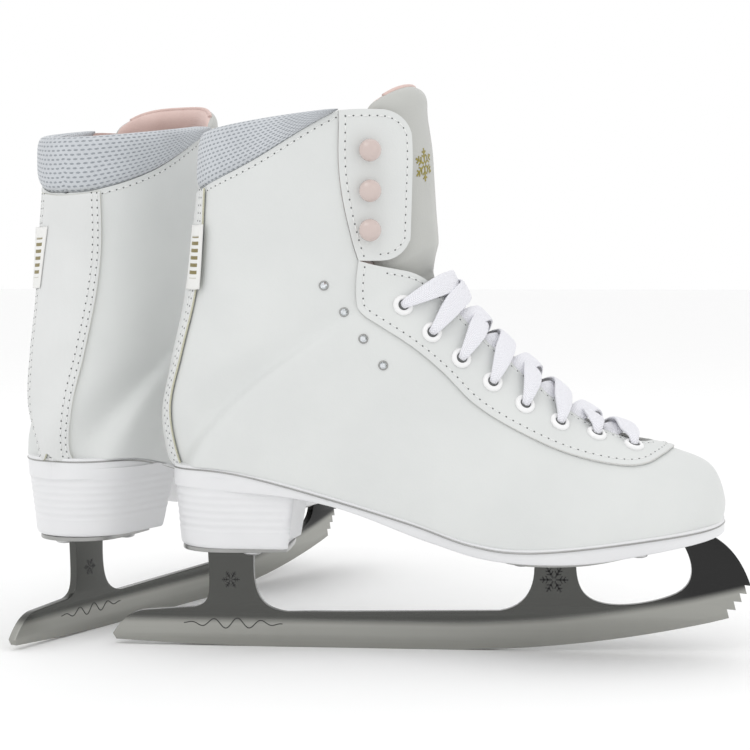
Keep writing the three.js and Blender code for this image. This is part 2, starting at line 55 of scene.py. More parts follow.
def skateFrame(side):
    # the toe points a quarter turn from the axis that the tongue folds about
    joint = next(j for j in frame["joints"] if j["name"] == side + "_tongue_fold")
    toe = np.array([joint["axis"][1], -joint["axis"][0], 0.0])
    inward = np.array([-toe[1], toe[0], 0.0]) * (1 if side == "right" else -1)
    up = np.array([0, 0, tongueHinge["z"] * mm])
    origin = np.array(joint["pos_m"]) - toe * tongueHinge["x"] * mm - up
    return {"side": side, "origin": origin, "axes": np.stack([toe, inward, [0.0, 0.0, 1.0]])}


def place(points, skate):
    # origin + points times the skate's three axes, from millimetres to metres
    return skate["origin"] + (np.asarray(points, float) * mm) @ skate["axes"]


skates = [skateFrame("right"), skateFrame("left")]
print("frame loaded,", len(frame["nodes"]), "nodes")

# camera, light and floor

view = {"aim": (66.2, 5.6, 125.5), "distance": 850, "turn": 4.87, "down": 3.43, "lens": 88.7}


def makeCamera():
    # stands back from the aim by the distance, turned and tipped by the two angles
    turn, down = math.radians(view["turn"]), math.radians(view["down"])
    ahead = np.array([-math.sin(turn) * math.cos(down), math.cos(turn) * math.cos(down), -math.sin(down)])
    data = bpy.data.cameras.new("camera")
    data.lens, data.sensor_width = view["lens"], 36
    data.clip_start, data.clip_end = 0.05, 50
    camera = bpy.data.objects.new("camera", data)
    bpy.context.scene.collection.objects.link(camera)
    camera.location = place(np.array(view["aim"]) - view["distance"] * ahead, skates[0])
    camera.rotation_mode = "QUATERNION"
    camera.rotation_quaternion = Vector(ahead).to_track_quat("-Z", "Y")
    bpy.context.scene.camera = camera


light = {
    "key": {"at": (-0.5, -1.2, 1.5), "size": 1.0, "watts": 4},
    "fill": {"at": (1.3, -0.9, 0.7), "size": 1.2, "watts": 1.0},
    "top": {"at": (0.1, 0.5, 1.7), "size": 1.4, "watts": 1.8},
    "sky": 1.0,
}


def makeLights():
    # three square lamps that face the skates, and an even white sky
    for name in ("key", "fill", "top"):
        data = bpy.data.lights.new(name, "AREA")
        data.size, data.energy = light[name]["size"], light[name]["watts"]
        lamp = bpy.data.objects.new(name, data)
        bpy.context.scene.collection.objects.link(lamp)
        lamp.location = light[name]["at"]
        lamp.rotation_mode = "QUATERNION"
        lamp.rotation_quaternion = (Vector((0, 0, 0.12)) - lamp.location).to_track_quat("-Z", "Y")
    world = bpy.data.worlds.new("studio")
    world.use_nodes = True
    world.node_tree.nodes["Background"].inputs["Color"].default_value = (1, 1, 1, 1)
    world.node_tree.nodes["Background"].inputs["Strength"].default_value = light["sky"]
    bpy.context.scene.world = world
    bpy.context.scene.view_settings.view_transform = "Standard"


makeCamera()
makeLights()
print("camera and lights made")

# shader arithmetic


class Field:
    # one socket of a node tree, which arithmetic turns into Math nodes
    def __init__(self, finish, socket):
        self.finish, self.socket = finish, socket

    def math(self, operation, *others):
        node = self.finish.node("ShaderNodeMath", {"operation": operation}, (self, *others))
        return Field(self.finish, node.outputs[0])

    def __add__(self, other):
        return self.math("ADD", other)

    def __sub__(self, other):
        return self.math("SUBTRACT", other)

    def __mul__(self, other):
        return self.math("MULTIPLY", other)

    def __truediv__(self, other):
        return self.math("DIVIDE", other)

    def __rsub__(self, other):
        return (self * -1) + other

    def __rtruediv__(self, other):
        return self.math("POWER", -1) * other

    __radd__ = __add__
    __rmul__ = __mul__

    def step(self, low, high):
        # 0 below low, 1 above high and a smooth rise between
        settings = {"interpolation_type": "SMOOTHSTEP"}
        return self.finish.field("ShaderNodeMapRange", settings, {0: self, 1: low, 2: high})


class Finish:
    # one material: its shader, and the nodes that drive it
    def __init__(self, name, **fixed):
        self.material = bpy.data.materials.new(name)
        self.material.use_nodes = True
        self.tree = self.material.node_tree
        self.shader = self.tree.nodes["Principled BSDF"]
        for socket, value in fixed.items():
            self.set(socket.replace("_", " "), value)

    def set(self, socket, value):
        if isinstance(value, Field):
            self.tree.links.new(value.socket, self.shader.inputs[socket])
        else:
            self.shader.inputs[socket].default_value = (*value, 1) if isinstance(value, tuple) else value

    def node(self, kind, settings=None, inputs=()):
        node = self.tree.nodes.new(kind)
        for key, value in (settings or {}).items():
            setattr(node, key, value)
        for key, value in inputs.items() if isinstance(inputs, dict) else enumerate(inputs):
            if isinstance(value, Field):
                self.tree.links.new(value.socket, node.inputs[key])
            else:
                node.inputs[key].default_value = value
        return node

    def field(self, kind, settings=None, inputs=(), output=0):
        return Field(self, self.node(kind, settings, inputs).outputs[output])

    def place(self, source="Object", **mapping):
        where = self.field("ShaderNodeTexCoord", None, (), source)
        if not mapping:
            return where
        kind = mapping.pop("kind", "POINT")
        return self.field("ShaderNodeMapping", {"vector_type": kind}, {"Vector": where, **mapping})

    def split(self, where):
        node = self.node("ShaderNodeSeparateXYZ", None, (where,))
        return [Field(self, node.outputs[i]) for i in range(3)]

    def noise(self, where, scale, detail=2.0, rough=0.5):
        return self.field("ShaderNodeTexNoise", None,
                          {"Vector": where, "Scale": scale, "Detail": detail, "Roughness": rough})

    def mix(self, share, one, two):
        return self.field("ShaderNodeMix", {"data_type": "RGBA"},
                          {0: share, 6: (*one, 1), 7: (*two, 1) if isinstance(two, tuple) else two}, 2)

    def bump(self, height, depth, strength=1.0):
        bumped = self.field("ShaderNodeBump", None,
                            {"Strength": strength, "Distance": depth, "Height": height})
        self.set("Normal", bumped)


def leather(name, pale, shade, roughness=0.4):
    # grain = fine noise + small cells; the colour drifts slowly between two near whites
    f = Finish(name, Specular_IOR_Level=0.42, Coat_Roughness=0.35)
    where = f.place()
    cells = f.field("ShaderNodeTexVoronoi", {"feature": "F1"}, {"Vector": where, "Scale": 1100.0})
    grain = f.noise(where, 1700.0, 3.0) * 0.6 + cells * 0.7
    slow = f.noise(where, 26.0, 3.0)
    f.set("Base Color", f.mix(slow.step(0.3, 0.72), pale, shade))
    f.set("Roughness", slow * 0.10 + grain * 0.06 + (roughness - 0.07))
    f.bump(grain, 0.00007, 0.45)
    return f.material


def brushedCloth(name, pale, shade, cell=0.0009):
    # short nap over a plain weave: two crossed sine waves of the weave's pitch under noise
    f = Finish(name, Sheen_Weight=0.35, Sheen_Roughness=0.5, Specular_IOR_Level=0.2)
    where = f.place()
    x, y, z = f.split(where)
    waves = ((x + y) * (2 * math.pi / cell)).math("SINE") * (z * (2 * math.pi / cell)).math("SINE")
    nap = f.noise(where, 2600.0, 3.0)
    worn = f.noise(where, 60.0, 3.0)
    f.set("Base Color", f.mix((worn * 0.7 + nap * 0.4).step(0.35, 0.75), pale, shade))
    f.set("Roughness", nap * 0.12 + 0.82)
    f.bump(waves * 0.3 + nap, 0.00018, 0.6)
    return f.material


def spacerMesh(name, yarn, hollow, pitch):
    # rows of long holes painted in a dark colour as the shade inside them, each row half a hole further on:
    # UVs are in millimetres
    f = Finish(name, Sheen_Weight=0.25, Sheen_Roughness=0.5, Specular_IOR_Level=0.25)
    u, v, _ = f.split(f.place("UV"))
    row = (v / (pitch * 0.8)).math("FLOOR")
    along = (u / pitch + row * 0.5).math("FRACT") - 0.5
    up = (v / (pitch * 0.8)).math("FRACT") - 0.5
    far = (along * along + up * up * 2.6).math("SQRT")
    solid = far.step(0.20, 0.40)
    threads = ((u * 2.4 + v * 1.1) * (2 * math.pi / pitch)).math("SINE") * 0.5 + 0.5
    slow = f.noise(f.place(), 45.0, 2.0)
    tint = f.mix(slow.step(0.3, 0.7), yarn, tuple(c * 0.92 for c in yarn))
    # the holes take the dark colour: painted shade inside them
    f.set("Base Color", f.field("ShaderNodeMix", {"data_type": "RGBA"},
                                {0: solid, 6: (*hollow, 1), 7: tint}, 2))
    f.set("Roughness", 0.92 - threads * 0.12)
    f.bump(solid + threads * 0.12, 0.0004, 0.8)
    return f.material


def wovenLace(name, pale, shade):
    # herringbone ribs: UV x runs along the lace and y across it, both in millimetres; the colour follows the
    # ribs, with painted shade in their grooves and random fuzz
    f = Finish(name, Sheen_Weight=0.3, Sheen_Roughness=0.5, Specular_IOR_Level=0.25)
    u, v, _ = f.split(f.place("UV"))
    slant = v.math("ABSOLUTE")
    ribs = ((u + slant * 0.7) * (2 * math.pi / 0.95)).math("SINE") * 0.5 + 0.5
    cords = (v * (2 * math.pi / 0.8)).math("SINE") * 0.5 + 0.5
    fuzz = f.noise(f.place(), 1500.0, 3.0)
    # darker in the rib grooves as painted shade, with random fuzz on top
    f.set("Base Color", f.mix((ribs * 0.5 + fuzz * 0.5).step(0.1, 0.8), shade, pale))
    f.set("Roughness", fuzz * 0.1 + 0.82)
    f.bump(ribs * 0.7 + cords * 0.5 + fuzz * 0.3, 0.00022, 0.8)
    return f.material


def moulded(name, pale, shade, roughness=0.3, coat=0.0):
    # smooth plastic: roughness drifts with slow and fine noise
    f = Finish(name, Specular_IOR_Level=0.5, Coat_Weight=coat, Coat_Roughness=0.12)
    where = f.place()
    slow, fine = f.noise(where, 20.0, 2.0), f.noise(where, 900.0, 2.0)
    f.set("Base Color", f.mix(slow.step(0.3, 0.7), pale, shade))
    f.set("Roughness", slow * 0.08 + fine * 0.08 + (roughness - 0.08))
    f.bump(fine, 0.00004, 0.4)
    return f.material


def bladeSteel(name, skate):
    # a ground band about 12 mm high follows the running edge; the toe is darker, as painted shade
    f = Finish(name, Metallic=1.0)
    turn = math.atan2(skate["axes"][0][1], skate["axes"][0][0])
    where = f.place(kind="TEXTURE", Location=tuple(skate["origin"]), Rotation=(0, 0, turn))
    x, _, z = f.split(where)
    ahead = (x - edgeCurve["start"] * mm).math("MAXIMUM", 0.0)
    height = z - ahead * ahead / (edgeCurve["reach"] * mm)
    ground = 1 - height.step(0.0100, 0.0142)
    edge = 1 - height.step(0.0022, 0.0034)
    streaks = f.field("ShaderNodeTexNoise", None, {
        "Vector": f.place(kind="TEXTURE", Location=tuple(skate["origin"]), Rotation=(0, 0, turn),
                          Scale=(0.06, 1.0, 0.0012)), "Scale": 1.0, "Detail": 4.0})
    cloud = f.noise(where, 22.0, 2.0)
    # painted shade: the steel's tone darkens towards the toe
    toe = x.step(0.185, 0.212)
    upper = f.mix(toe, (0.092, 0.093, 0.088), (0.036, 0.036, 0.036))
    tone = f.field("ShaderNodeMix", {"data_type": "RGBA"},
                   {0: ground, 6: upper, 7: (0.37, 0.37, 0.345, 1)}, 2)
    worn = f.field("ShaderNodeMix", {"data_type": "RGBA", "blend_type": "MULTIPLY"},
                   {0: 0.35, 6: tone, 7: f.mix(streaks, (0.72, 0.72, 0.72), (1.0, 1.0, 1.0))}, 2)
    f.set("Base Color", worn)
    f.set("Roughness", ground * 0.14 + streaks * 0.12 + cloud * 0.06 + edge * 0.1 + 0.14)
    f.bump(streaks + edge * 0.6, 0.00003, 0.35)
    return f.material


def plainSteel(name, tone, roughness):
    # steel that darkens to 0.7 of its tone in slow patches
    f = Finish(name, Metallic=1.0)
    where = f.place()
    fine, slow = f.noise(where, 1200.0, 3.0), f.noise(where, 60.0, 2.0)
    f.set("Base Color", f.mix(slow, tone, tuple(c * 0.7 for c in tone)))
    f.set("Roughness", fine * 0.1 + slow * 0.08 + (roughness - 0.09))
    f.bump(fine, 0.00003, 0.4)
    return f.material


def tinted(name, color, roughness, depth=0.0001, scale=1500.0, metallic=0.0):
    # one colour, down to 0.85 of itself in fine noise
    f = Finish(name, Metallic=metallic)
    fine = f.noise(f.place(), scale, 3.0)
    f.set("Base Color", f.mix(fine.step(0.3, 0.7), color, tuple(c * 0.85 for c in color)))
    f.set("Roughness", fine * 0.1 + (roughness - 0.05))
    f.bump(fine, depth, 0.5)
    return f.material


def printedLabel(name):
    # a white woven tab with plain gilt bars over its middle: UVs run from 0 to 1 over the tab
    f = Finish(name, Sheen_Weight=0.2)
    u, v, _ = f.split(f.place("UV"))
    bars = 1 - (v - 0.5).math("ABSOLUTE").step(0.30, 0.34)
    gaps = (v * 9.0).math("FRACT").step(0.30, 0.40) * (1 - (v * 9.0).math("FRACT").step(0.80, 0.90))
    width = 1 - (u - 0.5).math("ABSOLUTE").step(0.26, 0.30)
    weave = ((u * 30 + v * 120) * 2 * math.pi).math("SINE") * 0.5 + 0.5
    f.set("Base Color", f.mix(bars * gaps * width, (0.80, 0.80, 0.78), (0.20, 0.16, 0.04)))
    f.set("Roughness", weave * 0.1 + 0.65)
    f.bump(weave, 0.00005, 0.5)
    return f.material


finish = {
    "boot": leather("bootLeather", (0.685, 0.700, 0.690), (0.655, 0.670, 0.662), 0.38),
    "strip": leather("stripLeather", (0.695, 0.705, 0.700), (0.660, 0.670, 0.664), 0.40),
    "stripEdge": tinted("stripEdge", (0.62, 0.61, 0.47), 0.6),
    "edge": tinted("leatherEdge", (0.70, 0.70, 0.68), 0.6),
    "tongue": leather("tongueLeather", (0.51, 0.515, 0.49), (0.475, 0.48, 0.46), 0.42),
    "lining": brushedCloth("roseLining", (0.735, 0.560, 0.515), (0.64, 0.47, 0.43)),
    # collar mesh: the second colour is painted shade in the mesh's holes
    "collar": spacerMesh("collarMesh", (0.565, 0.59, 0.62), (0.30, 0.325, 0.355), 2.6),
    "lace": wovenLace("laceWeave", (0.87, 0.87, 0.91), (0.74, 0.74, 0.79)),
    "sole": moulded("soleUnit", (0.755, 0.758, 0.768), (0.73, 0.733, 0.745), 0.34),
    "eyelet": moulded("eyeletEnamel", (0.88, 0.88, 0.88), (0.84, 0.84, 0.84), 0.22, 0.4),
    "hook": moulded("hookEnamel", (0.60, 0.50, 0.465), (0.56, 0.46, 0.43), 0.2, 0.6),
    "plate": plainSteel("plateSteel", (0.42, 0.42, 0.41), 0.32),
    "screw": plainSteel("screwSteel", (0.66, 0.66, 0.66), 0.3),
    "thread": tinted("stitchThread", (0.80, 0.81, 0.80), 0.7, 0.0001, 4000.0),
    # dark dots and discs at the needle holes and eyelets: painted shade in the holes
    "holeShade": tinted("needleHoleShade", (0.13, 0.135, 0.135), 0.8),
    "dark": tinted("darkEtching", (0.02, 0.02, 0.02), 0.45),
    "gilt": tinted("giltPrint", (0.34, 0.29, 0.08), 0.35, 0.00002, 900.0, 0.6),
    "crystal": tinted("crystal", (0.80, 0.83, 0.86), 0.08, 0.00001, 900.0, 1.0),
    "label": printedLabel("labelWeave"),
    "floor": moulded("paleFloor", (0.96, 0.96, 0.96), (0.955, 0.955, 0.955), 0.92),
}
print("finishes made,", len(finish))

# meshes


def makePiece(name, verts, faces, finishes, faceFinish=None, uv=None, smooth=True, sharp=None):
    # verts in metres; finishes is a list, faceFinish an index for each face, uv one pair a vertex
    mesh = bpy.data.meshes.new(name)
    faces = faces if isinstance(faces, list) else faces.tolist()
    mesh.from_pydata(np.asarray(verts).tolist(), [], faces)
    mesh.polygons.foreach_set("use_smooth", np.full(len(mesh.polygons), smooth))
    for each in finishes:
        mesh.materials.append(finish[each] if isinstance(each, str) else each)
    if faceFinish is not None:
        mesh.polygons.foreach_set("material_index", np.asarray(faceFinish, np.int32))
    if uv is not None:
        corner = np.empty(len(mesh.loops), np.int32)
        mesh.loops.foreach_get("vertex_index", corner)
        mesh.uv_layers.new(name="UVMap").data.foreach_set("uv", np.asarray(uv, float)[corner].ravel())
    if sharp is not None:
        mesh.set_sharp_from_angle(angle=math.radians(sharp))
    piece = bpy.data.objects.new(name, mesh)
    bpy.context.scene.collection.objects.link(piece)
    return piece


def gridFaces(rows, columns, closed=False, flip=False):
    # quads of a grid whose point (i, j) is number i * columns + j
    i, j = np.meshgrid(np.arange(rows - 1), np.arange(columns if closed else columns - 1), indexing="ij")
    n = (j + 1) % columns
    quads = np.stack([i * columns + j, i * columns + n, (i + 1) * columns + n, (i + 1) * columns + j], -1)
    quads = quads.reshape(-1, 4)
    return quads[:, ::-1] if flip else quads


def tubeFaces(rows, columns, flip=False):
    # a closed skin of rings, whose two end rings are filled with one face each
    faces = gridFaces(rows, columns, True, flip).tolist()
    first, final = list(range(columns)), list(range((rows - 1) * columns, rows * columns))
    return faces + ([first, final[::-1]] if flip else [first[::-1], final])


def mergeShells(shells):
    # several (verts, faces) in one list of verts and faces
    verts, faces, count = [], [], 0
    for points, quads in shells:
        verts.append(points)
        faces += [[index + count for index in face] for face in quads]
        count += len(points)
    return np.concatenate(verts), faces


def outward(skate, flip=False):
    # the left skate is mirrored, so its faces turn the other way
    return flip != (skate["side"] == "left")


def facesOut(faces, skate, flip=False):
    # the faces as they are, or each one turned about
    return [face[::-1] for face in faces] if outward(skate, flip) else faces


def unit(vectors):
    # each vector over its length
    return vectors / np.maximum(np.linalg.norm(vectors, axis=-1, keepdims=True), 1e-9)


def smoothStep(value, low, high):
    # 3t^2 - 2t^3, where t is the share of the way from low to high
    t = np.clip((value - low) / (high - low), 0, 1)
    return t * t * (3 - 2 * t)


# the last's surface

ribs = np.array([
    # front x z, rear x z, half width outer inner, front pull, rear pull x y z
    [224, 61, 223, 53, 4, 4, 3, 0, 0, 3],
    [225, 72, 220, 53, 18, 17, 13, 0, 2, 10],
    [219, 86, 209, 52, 31, 28, 23, 0, 4, 18],
    [204, 93, 192, 49, 40, 35, 28, 0, 5, 25],
    [183, 98, 168, 44, 43, 39, 29, 0, 6, 30],
    [160, 108, 141, 43, 41, 35, 28, 0, 6, 36],
    [139, 125, 112, 45, 36, 29, 28, 0, 6, 45],
    [120, 142, 78, 55, 31, 26, 32, 0, 6, 52],
    [107, 156, 42, 67, 30, 27, 38, 0, 6, 54],
    [101, 166, 10, 74, 29, 28, 43, 0, 9, 50],
    [99, 172, -14, 76, 22, 22, 45, 4, 17, 46],
    [98, 179, -24, 76, 0, 0, 47, 2, 38, 42],
    [98, 188, -30, 103, 0, 0, 49, 2, 39, 21],
    [97, 200, -26, 129, 0, 0, 50, 1, 41, 9],
    [96, 214, -20, 156, 0, 0, 51, 0, 42, 3],
    [95, 228, -16, 184, 0, 0, 53, 0, 44, 0],
    [93, 241, -13, 210, 0, 0, 55, 0, 46, 0],
    [91, 252, -11, 236, 0, 0, 56, 0, 48, 0],
    [89, 262, -10, 256, 0, 0, 57, 0, 49, 0],
], float)


def throughPoints(points, share):
    # Catmull-Rom: (2b + (c - a) t + (2a - 5b + 4c - d) t^2 + (3b - a - 3c + d) t^3) / 2
    points = np.asarray(points, float)
    padded = np.concatenate([[2 * points[0] - points[1]], points, [2 * points[-1] - points[-2]]])
    at = np.clip(share, 0, 1) * (len(points) - 1)
    k = np.minimum(np.floor(at).astype(int), len(points) - 2)
    t = (at - k)[..., None]
    a, b, c, d = (padded[k + i] for i in range(4))
    return (2 * b + (c - a) * t + (2 * a - 5 * b + 4 * c - d) * t**2 + (3 * b - a - 3 * c + d) * t**3) / 2


def bootPoint(u, w):
    # u: rib, from toe to rim. w: round the rib, 0 in front, 1 at the outer sole edge or the back
    # seam; the inner side is -1 to 0, and also 1 to 2. Each half rib is a cubic Bezier curve.
    u, w = np.broadcast_arrays(np.asarray(u, float), np.asarray(w, float))
    rib = throughPoints(ribs, u)
    inner = (w < 0) | (w > 1)
    v = np.where(w > 1, 2 - w, np.abs(w))
    sign, share = np.where(inner, 1.0, -1.0), np.where(inner, 0.97, 1.0)
    half = sign * np.where(inner, rib[..., 5], rib[..., 4])
    zero, pull = np.zeros_like(u), sign * share * rib[..., 8]
    handles = [
        np.stack([rib[..., 0], zero, rib[..., 1]], -1),
        np.stack([rib[..., 0], sign * share * rib[..., 6], rib[..., 1]], -1),
        np.stack([rib[..., 2] + rib[..., 7], half + pull, rib[..., 3] + rib[..., 9]], -1),
        np.stack([rib[..., 2], half, rib[..., 3]], -1),
    ]
    r, v = (1 - v)[..., None], v[..., None]
    point = r**3 * handles[0] + 3 * r * r * v * handles[1] + 3 * r * v * v * handles[2] + v**3 * handles[3]
    point[..., 1] = sign * np.maximum(0, sign * point[..., 1])
    return point


def bootFrame(u, w):
    # the point with its unit tangents along u and w and its outward normal
    step = 2e-3
    lower, upper = np.clip(u - step, 0, 1), np.clip(u + step, 0, 1)
    along = bootPoint(upper, w) - bootPoint(lower, w)
    across = bootPoint(u, w + step) - bootPoint(u, w - step)
    normal = np.cross(along, across)
    # on the back seam the normal stays in the middle plane, square to the way up
    seam = (np.abs(bootPoint(u, w)[..., 1]) < 0.01) & (np.abs(w) > 0.5)
    back = np.stack([-along[..., 2], 0 * along[..., 0], along[..., 0]], -1)
    normal = np.where(seam[..., None], back, normal)
    return bootPoint(u, w), unit(along), unit(across), unit(normal)


def bootSkin(u, w, off):
    # point + normal x off
    u, w, off = np.broadcast_arrays(*(np.asarray(a, float) for a in (u, w, off)))
    point, _, _, normal = bootFrame(u, w)
    return point + normal * off[..., None]


def findOnBoot(targets):
    # the (u, w) on the outer side nearest each [x, z] or [x, y, z], by damped Newton steps
    goal = np.array([t if len(t) == 3 else (t[0], -30, t[1]) for t in targets], float)
    weight = np.array([(1, 0.6, 1) if len(t) == 3 else (1, 0.01, 1) for t in targets])
    gu, gw = np.meshgrid(np.linspace(0.01, 0.99, 70), np.linspace(0, 1, 45), indexing="ij")
    cloud = bootPoint(gu.ravel(), gw.ravel())
    nearest = (((cloud[None] - goal[:, None]) * weight[:, None]) ** 2).sum(-1).argmin(1)
    u, w = gu.ravel()[nearest], gw.ravel()[nearest]
    for _ in range(25):
        here = bootPoint(u, w)
        miss = (goal - here) * weight
        du = (bootPoint(u + 1e-4, w) - here) * 1e4 * weight
        dw = (bootPoint(u, w + 1e-4) - here) * 1e4 * weight
        a, b, c = (du * du).sum(-1) + 1, (du * dw).sum(-1), (dw * dw).sum(-1) + 1
        p, q = (du * miss).sum(-1), (dw * miss).sum(-1)
        det = a * c - b * b
        u = np.clip(u + (c * p - b * q) / det, 0.002, 0.999)
        w = np.clip(w + (a * q - b * p) / det, 0, 0.999)
    return np.stack([u, w], -1)


def evenly(points, count, places=None):
    # resamples a polyline at equal steps of its arc length, or of the length along given places
    measure = np.asarray(points if places is None else places, float)
    run = np.concatenate([[0], np.cumsum(np.linalg.norm(np.diff(measure, axis=0), axis=1))])
    at = np.linspace(0, run[-1], count)
    return np.stack([np.interp(at, run, column) for column in np.asarray(points).T], -1)


def lineOnBoot(targets, count=160):
    # a smooth line on the outer side through given points, as even (u, w) steps
    marks = findOnBoot(targets)
    dense = throughPoints(marks, np.linspace(0, 1, count * 4))
    return evenly(dense, count, bootPoint(dense[:, 0], dense[:, 1]))


def arc(x, z, radius, start, end, count=7):
    # a round stretch of a side-view line, with its angles in degrees
    angle = np.radians(np.linspace(start, end, count))
    return [(x + radius * c, z + radius * s) for c, s in zip(np.cos(angle), np.sin(angle))]


lines = {
    # each line has only the points that its shape needs, as x, z or x, y, z
    "facing": [(203, 0, 97), (196, -17, 91.5), (184, 88), (152, 94), (116, 112.5), (86, 139.5), (62, 178)],
    "throat": [(193, 0, 94.5), (183, -9, 96), (150, -11, 115), (112, -13, 147.5), (95, 165), (86, 172),
               (71, 176)],
    "fold": [(62, 178), (54.5, 212), (54, 243)],
    "flapFront": [*arc(71.5, 190.2, 12.3, -90, -5), (84.3, 212), *arc(71.5, 231, 12.7, 0, 50)],
    "flapTop": [*arc(71.5, 231, 12.7, 50, 90), (62, 243.6), (54, 243)],
    "flapFoot": [(71.5, 178), (62, 178)],
    "sole": [(-30, 86), (10, 84), (80, 65), (112, 55), (140, 53), (190, 59), (226, 63)],
    "base": [(-30, 76), (40, 71), (92, 54), (122, 46.5), (158, 46), (190, 51), (226, 57)],
    "collar": [(54, 243), (18, 223), (-8, 211.5), (-14, 0, 210)],
    "rim": [(-30, 234), (40, 242.5), (110, 250)],
    "seam": [(-19, 84), (-24.6, 101.5), (-21, 128.5), (-10, 176), (-7.6, 213)],
    "eyelets": [(81, 158), (107, 134), (144, 108.5), (183, 95)],
}


def heightOn(name, x):
    # the height of a side-view line at x
    dense = throughPoints([(p[0], p[-1]) for p in lines[name]], np.linspace(0, 1, 400))
    order = np.argsort(dense[:, 0])
    return np.interp(x, dense[order, 0], dense[order, 1])


def halving(test, low, high):
    # the edge of where test holds, found by halving between low, where it does, and high
    for _ in range(32):
        middle = (low + high) / 2
        good = test(middle)
        low, high = np.where(good, middle, low), np.where(good, high, middle)
    return low


def soleShare(u, lift):
    # the w where each rib comes down to a height over the sole's line
    def over(w):
        point = bootPoint(u, w)
        return point[..., 2] > heightOn("sole", point[..., 0]) + lift - 0.6
    return halving(over, np.full_like(u, 0.3), np.ones_like(u))


def seamRib(z):
    # the u at which the back seam has a height
    return halving(lambda u: bootPoint(u, 1.0)[..., 2] < z, np.full_like(z, 0.55), np.ones_like(z))


def seamShare(u):
    # the w at which a rib first comes to the middle plane behind the heel
    return halving(lambda w: bootPoint(u, w)[..., 1] < -1e-6, np.full_like(u, 0.5), np.ones_like(u))


def heightRib(w, name, lift=0.0):
    # the u at which the surface at w comes up to a side-view line
    def under(u):
        point = bootPoint(u, w)
        return point[..., 2] < heightOn(name, point[..., 0]) + lift
    return halving(under, np.full_like(w, 0.7), np.ones_like(w))


onBoot = ("facing", "throat", "fold", "flapFront", "flapTop", "flapFoot", "collar", "seam")
traced = {name: lineOnBoot(lines[name]) for name in onBoot}
print("lines traced on the boot")


# pieces of the boot


def patch(front, rear, first, final, rows, columns):
    # Coons patch: front to rear + first to final - the flat patch of the four corners
    front, rear = evenly(front, rows), evenly(rear, rows)
    first, final = evenly(first, columns), evenly(final, columns)
    s, t = np.linspace(0, 1, rows)[:, None, None], np.linspace(0, 1, columns)[None, :, None]
    across = (1 - t) * front[:, None] + t * rear[:, None]
    along = (1 - s) * first[None] + s * final[None]
    corners = ((1 - s) * (1 - t) * front[0] + (1 - s) * t * rear[0]
               + s * (1 - t) * front[-1] + s * t * rear[-1])
    return across + along - corners


def mirrored(uw):
    # the same place on the inner side
    other = np.array(uw, float)
    other[..., 1] *= -1
    return other


def placeOnSkate(points, skate):
    # a grid of points as one list, in the skate's place
    return place(points.reshape(-1, 3), skate)


def dress(piece, skate, body="skate", replaces=()):
    # the body that a piece rides on and the nodes it stands for
    side = skate["side"]
    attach(piece, side + "_" + body)
    if replaces:
        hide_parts(*(side + "_" + node for node in replaces))


def addPiece(name, skate, shell, look, slot, body="skate", replaces=(), **more):
    # a piece of one finish from its (verts, faces)
    verts, faces = shell
    piece = makePiece(name + "_" + skate["side"], verts, faces, [look], **more)
    dress(piece, skate, body, replaces)


def panel(name, skate, grids, off, thick, finishes, bevel=0.35):
    # grids of (u, w) as one skin at a height off the boot, thickened inwards, with rounded edges
    shells = []
    for uw in grids:
        u, w = uw[..., 0], uw[..., 1]
        height = off(u, w) if callable(off) else off
        points = bootSkin(u, w, height)
        flip = outward(skate, bool((w.min() < 0) and (w.max() <= 0)))
        shells.append((placeOnSkate(points, skate), gridFaces(*u.shape, False, not flip).tolist()))
    verts, faces = mergeShells(shells)
    piece = makePiece(name + "_" + skate["side"], verts, faces, finishes)
    weld = piece.modifiers.new("weld", "WELD")
    weld.merge_threshold = 0.00004
    wall = piece.modifiers.new("wall", "SOLIDIFY")
    wall.thickness, wall.offset = thick * mm, -1
    if len(finishes) > 1:
        wall.material_offset = 1
        wall.material_offset_rim = 2 if len(finishes) > 2 else 0
    edge = piece.modifiers.new("edge", "BEVEL")
    edge.width, edge.segments, edge.limit_method = bevel * mm, 2, "ANGLE"
    edge.angle_limit = math.radians(50)
    return piece


def straight(one, two, count=40):
    # even steps from one to two
    return np.linspace(np.asarray(one, float), np.asarray(two, float), count)


boot = {
    "leather": 2.6,  # wall of the upper
    "over": 1.5, "overlay": 1.2, "strip": 1.8,  # heights of facings and strip, and their thickness
    "lining": 2.2, "liningIn": 3.3, "flap": 3.2,
    "toe": 0.004,  # first rib
    "backSeam": (86.2, 209.5), "stripSeam": (87.2, 208.5),  # heights
}


def upperGrid(inset=0.0, lift=0.0):
    # the outer half: front edge from the toe up the throat and fold, rear edge along the sole and seam
    throat, fold = traced["throat"], traced["fold"]
    toeTop = straight((boot["toe"], 0.0), throat[0] - (0.002, 0), 60)
    front = np.concatenate([toeTop, throat[1:-6] + (0, 0.012), fold + (0, 0.001)])
    front[len(toeTop):, 1] += inset
    u = np.linspace(boot["toe"], 0.60, 200)
    sole = np.stack([u, soleShare(u, lift)], -1)
    foot, top = boot["backSeam"]
    up = seamRib(np.linspace(foot + lift, top, 90))
    back = np.stack([up, seamShare(up)], -1)
    sole = sole[sole[:, 1] < 0.9995 - 0.015 * lift]
    rear = np.concatenate([sole, back])
    collar = np.concatenate([front[-1:], traced["collar"][6:-3], back[-1:]])
    return patch(front, rear, straight(front[0], rear[0]), collar, 200, 70)


upperHalf = upperGrid()
liningHalf = upperGrid(0.03, 5.0)
print("boot halves laid out")


def facingGrid():
    # from the throat's edge back to the seam, starting at the toe
    throat, seam = traced["throat"][:-5], traced["facing"]
    return patch(throat, seam, straight(throat[0], seam[0]), straight(throat[-1], seam[-1]), 150, 22)


def flapGrid():
    # between the flap's four edges
    return patch(traced["flapFront"], traced["fold"], traced["flapFoot"], traced["flapTop"], 90, 34)


